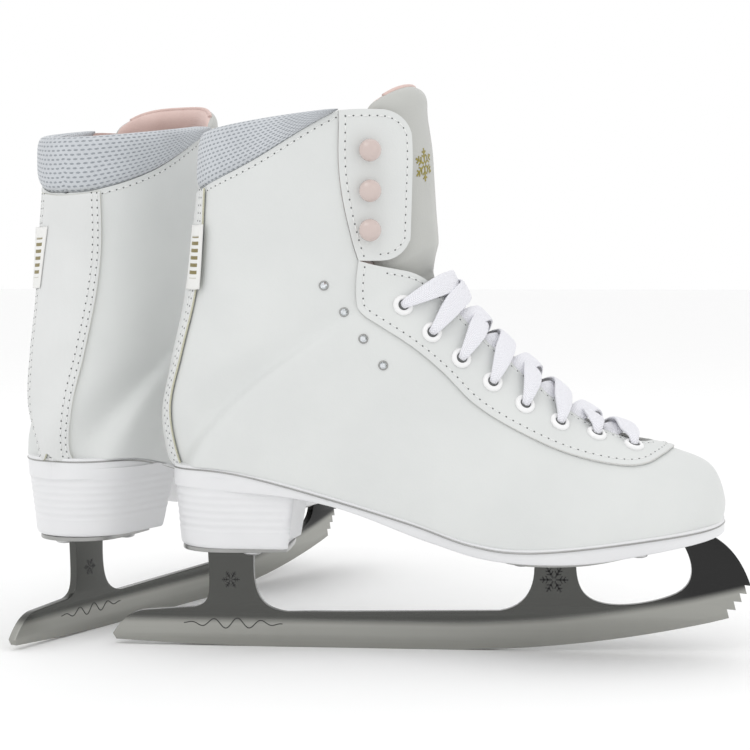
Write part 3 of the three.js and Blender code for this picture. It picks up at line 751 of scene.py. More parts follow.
def stripGrid():
    # across the back seam, from the seam's front edge on the outer side to that on the inner side
    seam = evenly(traced["seam"][5:-3], 90)
    up = seamRib(np.linspace(*boot["stripSeam"], 90))
    back = np.stack([up, seamShare(up)], -1)
    t = np.linspace(0, 1, 20)[None, :, None]
    half = (1 - t) * seam[:, None] + t * back[:, None]
    other = half[:, -2::-1].copy()
    other[..., 1] = 2 - other[..., 1]
    return np.concatenate([half, other], 1)


def makeBoot(skate):
    # the sewn panels, from the shell and its lining to what lies over them
    shell = panel("upper", skate, [upperHalf, mirrored(upperHalf)], 0.0, boot["leather"], ["boot"])
    dress(shell, skate, replaces=["upper"])
    halves = [liningHalf, mirrored(liningHalf)]
    cloth = panel("lining", skate, halves, -boot["liningIn"], boot["lining"], ["lining"])
    dress(cloth, skate, replaces=["lining"])
    half = facingGrid()
    looks = ["boot", "boot", "edge"]
    facing = panel("facing", skate, [half, mirrored(half)], boot["over"], boot["overlay"], looks)
    dress(facing, skate, replaces=["facing_outer", "facing_inner"])
    half = flapGrid()
    looks = ["boot", "lining", "edge"]
    for word, grid in (("outer", half), ("inner", mirrored(half))):
        flap = panel("flap_" + word, skate, [grid], boot["over"], boot["flap"], looks, 0.5)
        dress(flap, skate, word + "_flap", ["flap_" + word])
    looks = ["strip", "strip", "stripEdge"]
    strip = panel("heelStrip", skate, [stripGrid()], boot["strip"], boot["overlay"], looks)
    dress(strip, skate, replaces=["heel_strip"])


def ringLoft(name, skate, rings, finishes, uv=None, flip=False, **more):
    # rings: rows x columns x 3 in the skate's frame, closed round and capped at both ends
    rows, columns = rings.shape[:2]
    faces = tubeFaces(rows, columns, outward(skate, flip))
    return makePiece(name + "_" + skate["side"], placeOnSkate(rings, skate), faces, finishes, uv=uv, **more)


def lobe(angle, power):
    # a rounded square: cos and sin raised to a power below 1, with their signs
    c, s = np.cos(angle), np.sin(angle)
    return np.sign(c) * np.abs(c) ** power, np.sign(s) * np.abs(s) ** power


collar = {"steps": 131, "around": 44, "seamTop": 210.5, "out": 2.4, "in": -8.4, "power": 0.62,
          "endTaper": 9, "fill": 0.8}


def makeCollar(skate):
    # a padded roll from the leather's top edge over the rim, from one flap round the back to the other
    steps = collar["steps"]
    half = evenly(traced["collar"][:-3], steps)
    seam = np.array([[seamRib(np.array([collar["seamTop"]]))[0], 1.0]])
    half = evenly(np.concatenate([half, seam]), steps)
    w = np.concatenate([half[:, 1], 2 - half[-2::-1, 1]])
    bottom = np.concatenate([half[:, 0], half[-2::-1, 0]])
    rim = heightRib(half[:, 1], "rim")
    top = np.concatenate([rim, rim[-2::-1]])
    angle = np.linspace(0, 2 * np.pi, collar["around"], endpoint=False) - np.pi * 0.55
    c, s = lobe(angle, collar["power"])
    j = np.arange(len(w))
    closeness = np.minimum(j, len(w) - 1 - j) / collar["endTaper"]
    taper = np.sqrt(np.clip(1 - (1 - np.clip(closeness, 0, 1)) ** 2, 0.02, 1))[:, None]
    middle, spread = (bottom + top)[:, None] / 2, (top - bottom)[:, None] / 2
    u = middle + spread * s * (0.25 + 0.75 * taper)
    across = (collar["out"] + collar["in"]) / 2
    off = across + (collar["out"] - collar["in"]) / 2 * c * taper
    points = bootSkin(u, np.broadcast_to(w[:, None], u.shape), off)
    lengths = np.concatenate([[0], np.cumsum(np.linalg.norm(np.diff(points[:, 0], axis=0), axis=1))])
    around = np.concatenate([[0], np.cumsum(np.linalg.norm(np.diff(points[steps - 1], axis=0), axis=1))])
    uv = np.stack(np.broadcast_arrays(lengths[:, None], around[None]), -1).reshape(-1, 2)
    piece = ringLoft("collar", skate, points, ["collar"], uv=uv, flip=True)
    dress(piece, skate, replaces=["collar"])


def tubeAlong(path, radius, around, closed=False):
    # rings square to the path, at equal radius
    ahead = np.roll(path, -1, 0) - np.roll(path, 1, 0) if closed else np.gradient(path, axis=0)
    ahead = unit(ahead)
    up = unit(np.array([0.0, 0.0, 1.0]) - ahead * ahead[:, 2:])
    side = np.cross(ahead, up)
    angle = np.linspace(0, 2 * np.pi, around, endpoint=False)[None, :, None]
    rings = path[:, None] + radius * (np.cos(angle) * side[:, None] + np.sin(angle) * up[:, None])
    rows = len(path)
    if not closed:
        return rings.reshape(-1, 3), tubeFaces(rows, around)
    rings = np.concatenate([rings, rings[:1]])
    faces = gridFaces(rows + 1, around, True) % (rows * around)
    return rings[:-1].reshape(-1, 3), faces.tolist()


tongue = {
    "rows": 150, "around": 96, "foot": 0.172, "top": 0.972, "middle": -6.3, "half": 3.9, "fill": 0.75,
    "crown": 0.030, "piping": 1.1, "fold": ((97, 0, 173), (96, 0, 195)),
    "wide": ([0, 0.35, 0.52, 0.62, 0.75, 0.9, 1], [0.24, 0.26, 0.27, 0.30, 0.34, 0.35, 0.30]),
    "low": ([0, 0.5, 0.6, 1], [-5.0, -5.0, 0.0, 0.6]),
}


def makeTongue(skate):
    # a soft strip down the front of the boot: wide round the shin, narrow under the laces
    s = np.linspace(0, 1, tongue["rows"])[:, None]
    u = tongue["foot"] + (tongue["top"] - tongue["foot"]) * s + 0 * s
    angle = np.linspace(0, 2 * np.pi, tongue["around"], endpoint=False)
    c, h = lobe(angle, 0.55)
    near = np.minimum(s / 0.03, (1 - s) / 0.035)
    taper = np.sqrt(np.clip(1 - (1 - np.clip(near, 0, 1)) ** 2, 0.03, 1))
    wide = np.interp(s, *tongue["wide"])
    w = wide * c * (0.86 + 0.14 * taper)
    u = u - tongue["crown"] * np.abs(c) ** 2.5 * np.clip((s - 0.8) / 0.2, 0, 1)
    low = np.interp(s, *tongue["low"])
    roll = 1.0 * np.exp(-((s - 0.955) / 0.03) ** 2)
    off = tongue["middle"] + low * 0.6 + (tongue["half"] + roll) * h * taper * (1 - 0.35 * np.abs(c) ** 3)
    points = bootSkin(np.broadcast_to(u, w.shape), w, off)
    rows, columns = w.shape
    ring = np.arange(columns)
    back = ((ring > columns * 0.5) & (ring < columns - 1)).astype(int)
    looks = [*np.tile(back, rows - 1), 0, 1]
    piece = ringLoft("tongue", skate, points, ["tongue", "lining"], faceFinish=looks, flip=True)
    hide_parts(skate["side"] + "_tongue_base", skate["side"] + "_tongue_top")
    c = np.linspace(-0.93, 0.93, 60)
    crest = bootSkin(tongue["top"] - tongue["crown"] * np.abs(c) ** 2.5, 0.26 * c, tongue["middle"] + 0.4)
    tube, faces = tubeAlong(crest, tongue["piping"], 14)
    piping = place(tube, skate), facesOut(faces, skate)
    addPiece("tonguePiping", skate, piping, "lining", "tongue_leather", "tongue")
    start, end = place(tongue["fold"], skate)
    skate["side"] + "_skate"
    skate["side"] + "_tongue"
    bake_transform(piece)


for skate in skates:
    makeBoot(skate)
    makeCollar(skate)
    makeTongue(skate)
print("boots, collars and tongues made")

# soles and blades

plan = {
    "x": [-26, -24, -18, -8, 8, 35, 65, 92, 115, 140, 165, 185, 202, 213, 220, 224, 225],
    "outer": [0.6, 11, 20, 27, 30.5, 32, 32, 34, 38.5, 43, 45, 44, 38.5, 31, 21, 9, 0.6],
    "inner": [0.6, 11, 19.5, 26, 29, 28.5, 27.5, 28.5, 32.5, 38, 41, 39.5, 34, 27, 18, 8, 0.6],
}


def planPoints(count, shrink=0.0):
    # stations along the sole: x, outer and inner half width
    table = np.stack([plan["x"], plan["outer"], plan["inner"]], -1)
    dense = evenly(throughPoints(table, np.linspace(0, 1, 900)), count)
    middle = dense[:, 0].mean()
    dense[:, 0] = middle + (dense[:, 0] - middle) * (1 - shrink / 125)
    dense[:, 1:] = np.maximum(dense[:, 1:] - shrink, 0.4)
    return dense


def slab(name, skate, stations, top, base, finishes, power=0.22, taper=1.0, **more):
    # cross-sections with rounded corners: (half width x c, half height x s), c and s from lobe
    angle = np.linspace(0, 2 * np.pi, 72, endpoint=False)
    c, s = lobe(angle, power)
    x, outer, inner = (stations[:, k][:, None] for k in range(3))
    width = np.where(c < 0, outer, inner) * (taper + (1 - taper) * (s + 1) / 2)
    high, low = top(stations[:, 0])[:, None], base(stations[:, 0])[:, None]
    rings = np.stack(np.broadcast_arrays(x, width * c, (high + low) / 2 + (high - low) / 2 * s), -1)
    return ringLoft(name, skate, rings, finishes, **more)


heelShape = {
    "foot": 48.5, "top": 81, "breast": 29.5, "lean": 0.15, "back": -22.8, "half": 24.0, "flare": 0.17,
    "ribs": (55.0, 77.0), "pitch": 3.3, "depth": 0.11, "edge": 1.5, "hollow": 2.2,
}


def heelRings():
    # rings of one outline, straight in front and round behind, growing upwards, with fine ribs
    z = np.linspace(heelShape["foot"], heelShape["top"], 150)
    rise = (z - heelShape["foot"])[:, None]
    (low, high), edge = heelShape["ribs"], heelShape["edge"]
    inRibs = np.clip((z - low) / edge, 0, 1) * np.clip((high - z) / edge, 0, 1)
    wave = (heelShape["depth"] * inRibs * (np.cos(2 * np.pi * z / heelShape["pitch"]) - 1))[:, None]
    lip = -0.9 * np.exp(-rise / 0.7)
    half = heelShape["half"] + heelShape["flare"] * rise + wave + lip
    back = heelShape["back"] - 0.09 * rise - wave - lip
    breast = heelShape["breast"] + heelShape["lean"] * rise
    turn = np.linspace(np.pi / 2, 3 * np.pi / 2, 70)[None]
    middle = back + half * 1.05
    bow = np.linspace(-1, 1, 30)[None, 1:-1]
    side = np.linspace(0, 1, 12)[None, :-1]
    rear = (middle + np.cos(turn) * (middle - back), np.sin(turn) * half)
    outer = (middle + (breast - middle) * side, -half + 0 * side)
    front = (breast - heelShape["hollow"] * (1 - bow**2), half * bow)
    inner = (breast + (middle - breast) * side, half + 0 * side)
    x = np.concatenate([inner[0], rear[0][:, :-1], outer[0], front[0] + 0 * breast], 1)
    y = np.concatenate([inner[1], rear[1][:, :-1], outer[1], front[1]], 1)
    return np.stack([x, y, np.minimum(z[:, None], heightOn("sole", x) - 0.4)], -1)


def overLine(name, lift):
    # the height of a side-view line plus a lift, as a function of x
    return lambda x: heightOn(name, x) + lift


def makeSole(skate):
    # the sole's slab and heel block, the footbed, and a thin welt just under the sole's top edge
    stations = planPoints(190)
    top, base = overLine("sole", -0.05), overLine("base", 0)
    sole = slab("outsole", skate, stations, top, base, ["sole"], 0.14, 0.965)
    heel = ringLoft("heel", skate, heelRings(), ["sole"], sharp=60)
    dress(sole, skate, replaces=["outsole"])
    dress(heel, skate)
    bed = planPoints(120, 4.2)
    insole = slab("insole", skate, bed, overLine("sole", 3.8), overLine("sole", 0.3), ["lining"], 0.3)
    dress(insole, skate, replaces=["insole"])
    edge = np.concatenate([np.stack([stations[:, 0], -stations[:, 1]], -1),
                           np.stack([stations[::-1, 0], stations[::-1, 2]], -1)[1:-1]])
    x, y = edge[:, 0], edge[:, 1]
    tube, faces = tubeAlong(np.stack([x, y, heightOn("sole", x) - 1.7], -1), 0.35, 8, closed=True)
    addPiece("welt", skate, (place(tube, skate), faces), "plate", "sole_unit")


def bezier(a, b, c, d, count=14):
    # (1-t)^3 a + 3(1-t)^2 t b + 3(1-t) t^2 c + t^3 d
    t = np.linspace(0, 1, count)[:, None]
    a, b, c, d = (np.array(p, float) for p in (a, b, c, d))
    return (1 - t)**3 * a + 3 * (1 - t)**2 * t * b + 3 * (1 - t) * t * t * c + t**3 * d


blade = {
    "thick": 4.0, "bevel": 0.35, "plate": 2.0, "gap": 0.3,
    "solePlate": [(124, 12), (127, 24), (139, 30), (158, 31), (176, 28), (196, 20), (210, 13.5), (219.5, 9)],
}


def plateFoot(x):
    # the underside of the heel plate, or of the sole plate in front of it
    seat = np.where(np.asarray(x) < 60, heelShape["foot"], heightOn("base", x))
    return seat - blade["gap"] - blade["plate"]


def postTop(x):
    # where a post's edge ends under its plate
    return x, float(plateFoot(x)) - blade["gap"]


def bladeOutline():
    # running edge, five picks, toe, window, front post, runner top, rear post and tail
    rocker = np.arange(128.0, 220.0, 7.0)
    picks = [(227.5 + 3.2 * i - 0.2 * i * i + d, 16.6 + 3.7 * i + 4 * (d < 0)) for i in range(5)
             for d in ((0, -1) if i < 4 else (0,))]
    top, corner, foot = 45.9, (201, 26), (173, 22)
    return np.concatenate([
        [(-54, 2.4), (-20, 0.7), (8, 0), (108, 0)],
        np.stack([rocker, (rocker - edgeCurve["start"])**2 / edgeCurve["reach"]], -1), picks,
        bezier(picks[-1], (234, 40), (230, 48), postTop(220.5))[1:],
        bezier(postTop(206), (211, 43), (215, 31), corner),
        bezier(corner, (192, 22.5), (180, 21), foot)[1:],
        bezier(foot, (162, 23.5), (158.3, 29), postTop(158.6))[1:],
        bezier(postTop(139.4), (140.6, 32), (138, 20.5), (124, 18.2)),
        bezier((26, 16.2), (13, 17.6), (9.4, 25), (10.8, top)),
        bezier((-10.8, top), (-9.6, 24), (-9, 20), (-17, 18)),
        bezier((-40, 16.2), (-47, 15.8), (-52, 11), (-55.6, 5)),
    ])


def flatPiece(name, skate, outline, thick, bevel, finishes, lift=None):
    # a flat outline in X and Z (or X and Y, when lift is given) filled, thickened and bevelled
    curve = bpy.data.curves.new(name, "CURVE")
    curve.dimensions, curve.fill_mode = "2D", "BOTH"
    curve.extrude, curve.bevel_depth, curve.bevel_resolution = thick / 2 - bevel, bevel, 2
    curve.offset = -bevel
    spline = curve.splines.new("POLY")
    spline.points.add(len(outline) - 1)
    spline.points.foreach_set("co", np.pad(outline, ((0, 0), (0, 2))).ravel())
    spline.use_cyclic_u = True
    holder = bpy.data.objects.new(name, curve)
    bpy.context.scene.collection.objects.link(holder)
    bpy.context.view_layer.update()
    mesh = bpy.data.meshes.new_from_object(holder.evaluated_get(bpy.context.evaluated_depsgraph_get()))
    bpy.data.objects.remove(holder)
    flat = np.empty(len(mesh.vertices) * 3)
    mesh.vertices.foreach_get("co", flat)
    flat = flat.reshape(-1, 3)
    points = flat[:, [0, 2, 1]] if lift is None else flat + (0, 0, lift)
    faces = facesOut([list(p.vertices) for p in mesh.polygons], skate, lift is None)
    bpy.data.meshes.remove(mesh)
    piece = makePiece(name + "_" + skate["side"], place(points, skate), faces, finishes, sharp=32)
    weld = piece.modifiers.new("weld", "WELD")
    weld.merge_threshold = 0.00002
    return piece


screws = [(-16.5, 0), (12, -15), (12, 15), (24, 0), (134, -18), (134, 18), (186, -15), (186, 15)]  # x, y


def screwHead():
    # height = dome - cross recess: depth 1.3 inside |x| or |y| < 0.5 out to radius 2.4
    r = np.concatenate([np.linspace(0.05, 3.9, 34), [4.0, 4.0]])[:, None]
    angle = np.linspace(0, 2 * np.pi, 96, endpoint=False)[None]
    x, y = r * np.cos(angle), r * np.sin(angle)
    narrow = np.minimum(np.abs(x), np.abs(y))
    recess = (1 - smoothStep(narrow, 0.35, 0.65)) * (1 - smoothStep(r, 2.0, 2.5))
    z = -1.7 * np.sqrt(np.clip(1 - (r / 4.3) ** 2, 0.05, 1)) + 1.3 * recess
    z[-2], z[-1] = -0.35, 0.0
    rings = np.stack([x, y, z], -1)[::-1]
    return rings.reshape(-1, 3), tubeFaces(len(rings), rings.shape[1])


def makeBlade(skate):
    # the runner, the two plates over it and their screws
    steel = bladeSteel("bladeSteel_" + skate["side"], skate)
    runner = flatPiece("runner", skate, bladeOutline(), blade["thick"], blade["bevel"], [steel])
    dress(runner, skate, replaces=["runner"])
    turn = np.linspace(np.pi / 2, 3 * np.pi / 2, 40)
    heel = np.concatenate([[(28, -17), (28.6, -8), (28.6, 8), (28, 17), (6, 20)],
                           np.stack([-2 + 20 * np.cos(turn), 20 * np.sin(turn)], -1), [(6, -20)]])
    lift = heelShape["foot"] - blade["gap"] - blade["plate"] / 2
    plate = flatPiece("heelPlate", skate, heel, blade["plate"], 0.3, ["plate"], lift=lift)
    dress(plate, skate, replaces=["heel_plate"])
    half = throughPoints(blade["solePlate"], np.linspace(0, 1, 80))
    stations = np.stack([half[:, 0], half[:, 1], half[:, 1]], -1)
    top, base = overLine("base", -blade["gap"]), overLine("base", -blade["gap"] - blade["plate"])
    front = slab("solePlate", skate, stations, top, base, ["plate"], 0.08, sharp=40)
    dress(front, skate, replaces=["sole_plate"])
    head, faces = screwHead()
    heads = []
    for x, y in screws:
        foot = float(min(plateFoot(x - 4), plateFoot(x + 4)))
        heads.append((place(head + (x, y, foot), skate), facesOut(faces, skate)))
    names = [w + "_screw_" + str(i) for w in ("heel", "sole") for i in (1, 2, 3, 4)]
    addPiece("screws", skate, mergeShells(heads), "screw", "screw_steel", replaces=names, sharp=50)


for skate in skates:
    makeSole(skate)
    makeBlade(skate)
print("soles and blades made")

# fittings, threads and laces


def besideLine(line, distance):
    # each (u, w) moved sideways over the surface: the least squares step along both tangents
    u, w = line[:, 0], line[:, 1]
    point, _, _, normal = bootFrame(u, w)
    ahead = np.gradient(point, axis=0)
    side = np.cross(normal, ahead)
    side *= distance / np.linalg.norm(side, axis=1, keepdims=True)
    du = (bootPoint(u + 1e-4, w) - point) * 1e4
    dw = (bootPoint(u, w + 1e-4) - point) * 1e4
    a, b, c = (du * du).sum(1), (du * dw).sum(1), (dw * dw).sum(1)
    p, q = (du * side).sum(1), (dw * side).sum(1)
    det = a * c - b * b
    return np.stack([u + (c * p - b * q) / det, w + (a * q - b * p) / det], -1)


def ball(rows, columns, size):
    # a sphere of rings between two small end rings, scaled to a size
    turn = np.linspace(0.12, np.pi - 0.12, rows)[:, None]
    angle = np.linspace(0, 2 * np.pi, columns, endpoint=False)[None]
    x, y, z = np.cos(turn), np.sin(turn) * np.cos(angle), np.sin(turn) * np.sin(angle)
    points = np.stack(np.broadcast_arrays(x, y, z), -1).reshape(-1, 3)
    return points * size, tubeFaces(rows, columns, True)


def lathe(profile, columns=40):
    # a profile of radius and height turned round the third axis
    profile = np.array(profile, float)
    angle = np.linspace(0, 2 * np.pi, columns, endpoint=False)[None]
    r, h = profile[:, :1], profile[:, 1:]
    points = np.stack(np.broadcast_arrays(r * np.cos(angle), r * np.sin(angle), h), -1)
    return points.reshape(-1, 3), tubeFaces(len(profile), columns)


def spread(template, centres, axes, skate):
    # one copy of a template at each centre, turned to its three axes, in the row frame
    points, faces = template
    verts = centres[:, None] + np.einsum("nk,mkj->mnj", points, axes)
    step = len(points)
    quads = [[k + i * step for k in face] for i in range(len(centres)) for face in facesOut(faces, skate)]
    return place(verts.reshape(-1, 3), skate), quads


def axesAt(u, w, ahead=None):
    # length along the line, across it and out of the surface
    point, along, _, normal = bootFrame(u, w)
    ahead = along if ahead is None else ahead
    ahead = ahead - normal * (ahead * normal).sum(-1, keepdims=True)
    ahead = unit(ahead)
    return point, np.stack([ahead, np.cross(normal, ahead), normal], -2)


# hole: size of the dark dot at each needle hole, painted shade in the hole
thread = {"pitch": 3.45, "size": (1.22, 0.42, 0.34), "holeShade": (0.42, 0.378, 0.14), "proud": 0.02}


def stitches(name, skate, body, rows, off):
    # a thread on every step of a line with a dark dot at each end, painted shade in the needle hole
    threads, holeShades = [], []
    for line in rows:
        dense = evenly(line, 700, bootPoint(line[:, 0], line[:, 1]))
        points = bootPoint(dense[:, 0], dense[:, 1])
        length = np.linalg.norm(np.diff(points, axis=0), axis=1).sum()
        count = max(2, int(length / thread["pitch"]))
        marks = evenly(dense, 2 * count + 1, points)
        u, w = marks[:, 0], marks[:, 1]
        ahead = np.gradient(bootPoint(u, w), axis=0)
        point, axes = axesAt(u, w, ahead)
        point = point + axes[:, 2] * off
        proud = point[1::2] + axes[1::2, 2] * thread["proud"]
        threads.append(spread(ball(7, 10, thread["size"]), proud, axes[1::2], skate))
        # dark dots of painted shade in the needle holes
        holeShades.append(spread(ball(5, 10, thread["holeShade"]), point[::2], axes[::2], skate))
    for word, shells, look in (("Thread", threads, "thread"), ("Holes", holeShades, "holeShade")):
        addPiece(name + word, skate, mergeShells(shells), look, "facing_leather", body)


def bothSides(rows):
    # each row followed by its mirror image
    return [line for row in rows for line in (row, mirrored(row))]


def makeStitches(skate):
    # rows a few millimetres inside the edges of the facings, collar, flaps and heel strip
    facing = besideLine(traced["facing"], -3.0)[2:-2]
    throat = besideLine(traced["throat"], 2.6)[6:-4]
    collarEdge = besideLine(traced["collar"][:-8], 2.4)[4:]
    stitches("facing", skate, "skate", bothSides([facing, throat]), boot["over"])
    stitches("collarEdge", skate, "skate", bothSides([collarEdge]), 0.0)
    border = np.concatenate([traced["flapFoot"][30:60:20], traced["flapFront"], traced["flapTop"][1:]])
    border = evenly(border, 160, bootPoint(border[:, 0], border[:, 1]))
    front = besideLine(border, 2.8)[6:-4]
    rear = besideLine(traced["fold"], -2.8)[3:-6]
    for word, turn in (("outer", np.array), ("inner", mirrored)):
        stitches("flap_" + word, skate, word + "_flap", [turn(front), turn(rear)], boot["over"])
    seam = traced["seam"][4:-4]
    rows = [besideLine(seam, 1.6), besideLine(seam, 4.0)]
    opposite = [np.stack([r[:, 0], 2 - r[:, 1]], -1) for r in rows]
    stitches("strip", skate, "skate", rows + opposite, boot["strip"])


fitting = {
    # turned profiles of radius and height
    "ring": [(2.3, -0.6), (2.3, 0.7), (2.55, 1.15), (3.1, 1.35), (3.9, 1.2), (4.5, 0.7), (4.65, 0.1),
             (4.5, -0.6)],
    # hole: a dark disc over each eyelet's hole, painted shade inside it
    "holeShade": [(0.02, 0.1), (2.34, 0.1), (2.34, 0.42), (0.02, 0.42)],
    "hook": [(0.02, 0), (3.8, 0), (3.7, 0.7), (2.2, 1.2), (1.9, 1.8), (1.9, 3.1), (2.6, 3.5), (4.5, 3.8),
             (4.95, 4.4), (4.8, 5.3), (4.2, 6.2), (3.2, 7.0), (2.0, 7.5), (0.9, 7.75), (0.02, 7.8)],
    "stone": [(0.02, -0.2), (1.6, -0.2), (1.55, 0.5), (0.8, 1.2), (0.02, 1.25)],
    "setting": [(1.5, -0.3), (1.5, 0.5), (1.9, 0.55), (2.15, 0.3), (2.2, -0.3)],
}
eyelets, hooks, stones = 8, 3, 4
eyeletLine = throughPoints(lines["eyelets"], np.linspace(0, 1, 400))
eyeletMarks = findOnBoot(evenly(eyeletLine, eyelets))
hookMarks = findOnBoot([(66, 226 - 17.3 * i) for i in range(hooks)])
stoneMarks = findOnBoot(straight((47, 167), (73, 132), stones))


def addFittings(name, skate, kind, marks, height, look, slot, columns=40, **more):
    # one turned profile at a height over each mark on the boot
    point, axes = axesAt(marks[:, 0], marks[:, 1])
    shell = spread(lathe(fitting[kind], columns), point + axes[:, 2] * height, axes, skate)
    addPiece(name, skate, shell, look, slot, **more)


def makeFittings(skate):
    # eyelets on both facings, hooks on both flaps, and stones in their settings on the outer side
    both = np.concatenate([eyeletMarks, mirrored(eyeletMarks)])
    addFittings("eyelets", skate, "ring", both, 1.6, "eyelet", "facing_leather")
    # a dark disc in each eyelet: painted shade in its hole
    addFittings("eyeletHoles", skate, "holeShade", both, 2.1, "holeShade", "facing_leather", 28)
    for word, marks in (("outer", hookMarks), ("inner", mirrored(hookMarks))):
        names = ["hook_" + word + "_" + str(i + 1) for i in range(hooks)]
        addFittings("hooks_" + word, skate, "hook", marks, 1.7, "hook", "hook_enamel",
                    body=word + "_flap", replaces=names)
    addFittings("stones", skate, "stone", stoneMarks, 0.1, "crystal", "boot_leather", 8, smooth=False)
    addFittings("settings", skate, "setting", stoneMarks, 0.0, "plate", "boot_leather", 28)


label = {
    "corners": [(-13.5, 194), (-6.5, 194), (-16, 165), (-8.5, 165)], "rows": 40, "columns": 14,
    "off": 2.15, "stand": 0.5, "thick": 0.3,
}


def makeLabel(skate):
    # a folded tab sewn under the edge of the heel strip, whose free edge stands off by the square
    a, b, c, d = findOnBoot(label["corners"])
    rows, columns = label["rows"], label["columns"]
    grid = patch(straight(a, c), straight(b, d), straight(a, b), straight(c, d), rows, columns)
    off = label["off"] + label["stand"] * np.linspace(0, 1, columns)[None] ** 2 + np.zeros((rows, 1))
    points = bootSkin(grid[..., 0], grid[..., 1], off)
    u, v = np.meshgrid(np.linspace(0, 1, columns), np.linspace(0, 1, rows))
    faces = gridFaces(rows, columns, False, outward(skate))
    piece = makePiece("label_" + skate["side"], placeOnSkate(points, skate), faces, ["label"],
                      uv=np.stack([u.ravel(), v.ravel()], -1))
    wall = piece.modifiers.new("wall", "SOLIDIFY")
    wall.thickness, wall.offset = label["thick"] * mm, -1
    dress(piece, skate)


ribbon = {"wide": 9.0, "thick": 2.0, "pinch": 3.5, "bunch": 2.9}


def skinAt(u, w, off):
    # one point at a height over the boot
    return bootSkin(np.array([u]), np.array([w]), np.array([off]))[0]


def normalAt(u, w):
    # the boot's outward normal at one place
    return bootFrame(np.array([u]), np.array([w]))[3][0]


def laceStops(side):
    # stops of one half of the lace: place, flat side's direction, width and thickness. It comes up
    # through an eyelet, crosses the instep and dives under the far facing to the next eyelet up.
    stops, sign = [], 1.0
    over = 6.0 if side > 0 else 3.4
    band = ribbon["wide"], ribbon["thick"]
    for i in range(eyelets - 1, -1, -1):
        u, w = eyeletMarks[i]
        w = w * side
        normal = normalAt(u, w)
        last = i == 0
        upU, upW = eyeletMarks[max(i - 1, 0)] * (1, -side)
        middleU = (u + upU) / 2 if not last else u + 0.004
        toward = skinAt(middleU, 0.0, 2.0) - skinAt(u, w, 2.0)
        toward = toward - normal * (toward @ normal)
        toward /= np.linalg.norm(toward)
        inside = skinAt(u - 0.006, w * 0.86, -6.4)
        stops.append((inside, sign * normal, 4.0, ribbon["bunch"] * 0.7))
        stops.append((skinAt(u, w, -2.5), sign * toward, ribbon["pinch"], ribbon["bunch"]))
        stops.append((skinAt(u, w, 2.2) + toward * 0.3, sign * toward, ribbon["pinch"], ribbon["bunch"]))
        stops.append((skinAt(u, w, 4.3) + toward * 2.0, -sign * (normal - toward * 0.5), 4.6, 2.2))
        edge = 0.55 * w
        stops.append((skinAt(u + 0.45 * (middleU - u), edge, 4.9), -sign * normalAt(u, edge), *band))
        if last:
            break
        stops.append((skinAt(middleU, 0.0, over), -sign * normalAt(middleU, 0.0), *band))
        below = 0.62 * upW
        under, span = -sign * normalAt(upU, below), upU - middleU
        stops.append((skinAt(middleU + 0.5 * span, below * 0.72, 0.4), under, ribbon["wide"], 1.4))
        stops.append((skinAt(middleU + 0.8 * span, below, -4.6), under, 5.5, 1.4))
        sign = -sign
        side = -side
    return stops, -sign


def smoothStops(stops, steps):
    # centripetal Catmull-Rom knots: distance to the power one half
    centres = np.array([p for p, _, _, _ in stops])
    rest = np.array([[*d, wide, thick] for _, d, wide, thick in stops])
    knots = np.concatenate([[0], np.cumsum(np.sqrt(np.linalg.norm(np.diff(centres, axis=0), axis=1)))])
    values = np.concatenate([centres, rest], 1)
    slope = np.gradient(values, knots, axis=0)
    at = np.linspace(0, knots[-1], steps)
    k = np.clip(np.searchsorted(knots, at) - 1, 0, len(knots) - 2)
    span = (knots[k + 1] - knots[k])[:, None]
    t = ((at - knots[k])[:, None]) / span
    a, b, m, n = values[k], values[k + 1], slope[k] * span, slope[k + 1] * span
    ease = 3 * t**2 - 2 * t**3
    return (1 - ease) * a + (t**3 - 2 * t**2 + t) * m + ease * b + (t**3 - t**2) * n


laceLengths = []


def makeLace(skate):
    # one flat band over both halves' stops, joined by a straight bar at the top pair of eyelets
    one, sign = laceStops(1)
    two, _ = laceStops(-1)
    u = eyeletMarks[0][0]
    bar = skinAt(u + 0.004, 0.0, 3.6)
    up = normalAt(u, 0.0)
    flip = np.sign(one[-1][1] @ up)
    other = np.sign(two[-1][1] @ up) * flip
    stops = one + [(bar, flip * up, ribbon["wide"], ribbon["thick"])]
    stops += [(p, other * d, wide, thick) for p, d, wide, thick in two[::-1]]
    path = smoothStops(stops, 1500)
    centre, up, wide, thick = path[:, :3], path[:, 3:6], path[:, 6:7], path[:, 7:8]
    ahead = unit(np.gradient(centre, axis=0))
    up = unit(up - ahead * (up * ahead).sum(1, keepdims=True))
    side = np.cross(ahead, up)
    angle = np.linspace(0, 2 * np.pi, 40, endpoint=False)
    c, h = lobe(angle, 0.6)
    groove = 0.82 + 0.18 * np.cos(3 * np.pi * c) ** 2
    run = np.concatenate([[0], np.cumsum(np.linalg.norm(np.diff(centre, axis=0), axis=1))])
    fold = 0.10 * np.sin(run / 3.1)[:, None] * c[None]
    rings = centre[:, None] + side[:, None] * (wide / 2 * c)[..., None]
    rings = rings + up[:, None] * (thick / 2 * (h * groove + fold))[..., None]
    uv = np.stack(np.broadcast_arrays(run[:, None], wide / 2 * c), -1).reshape(-1, 2)
    piece = ringLoft("lace", skate, rings, ["lace"], uv=uv)
    laceLengths.append(float(run[-1]))
    dress(piece, skate, replaces=["lace"])


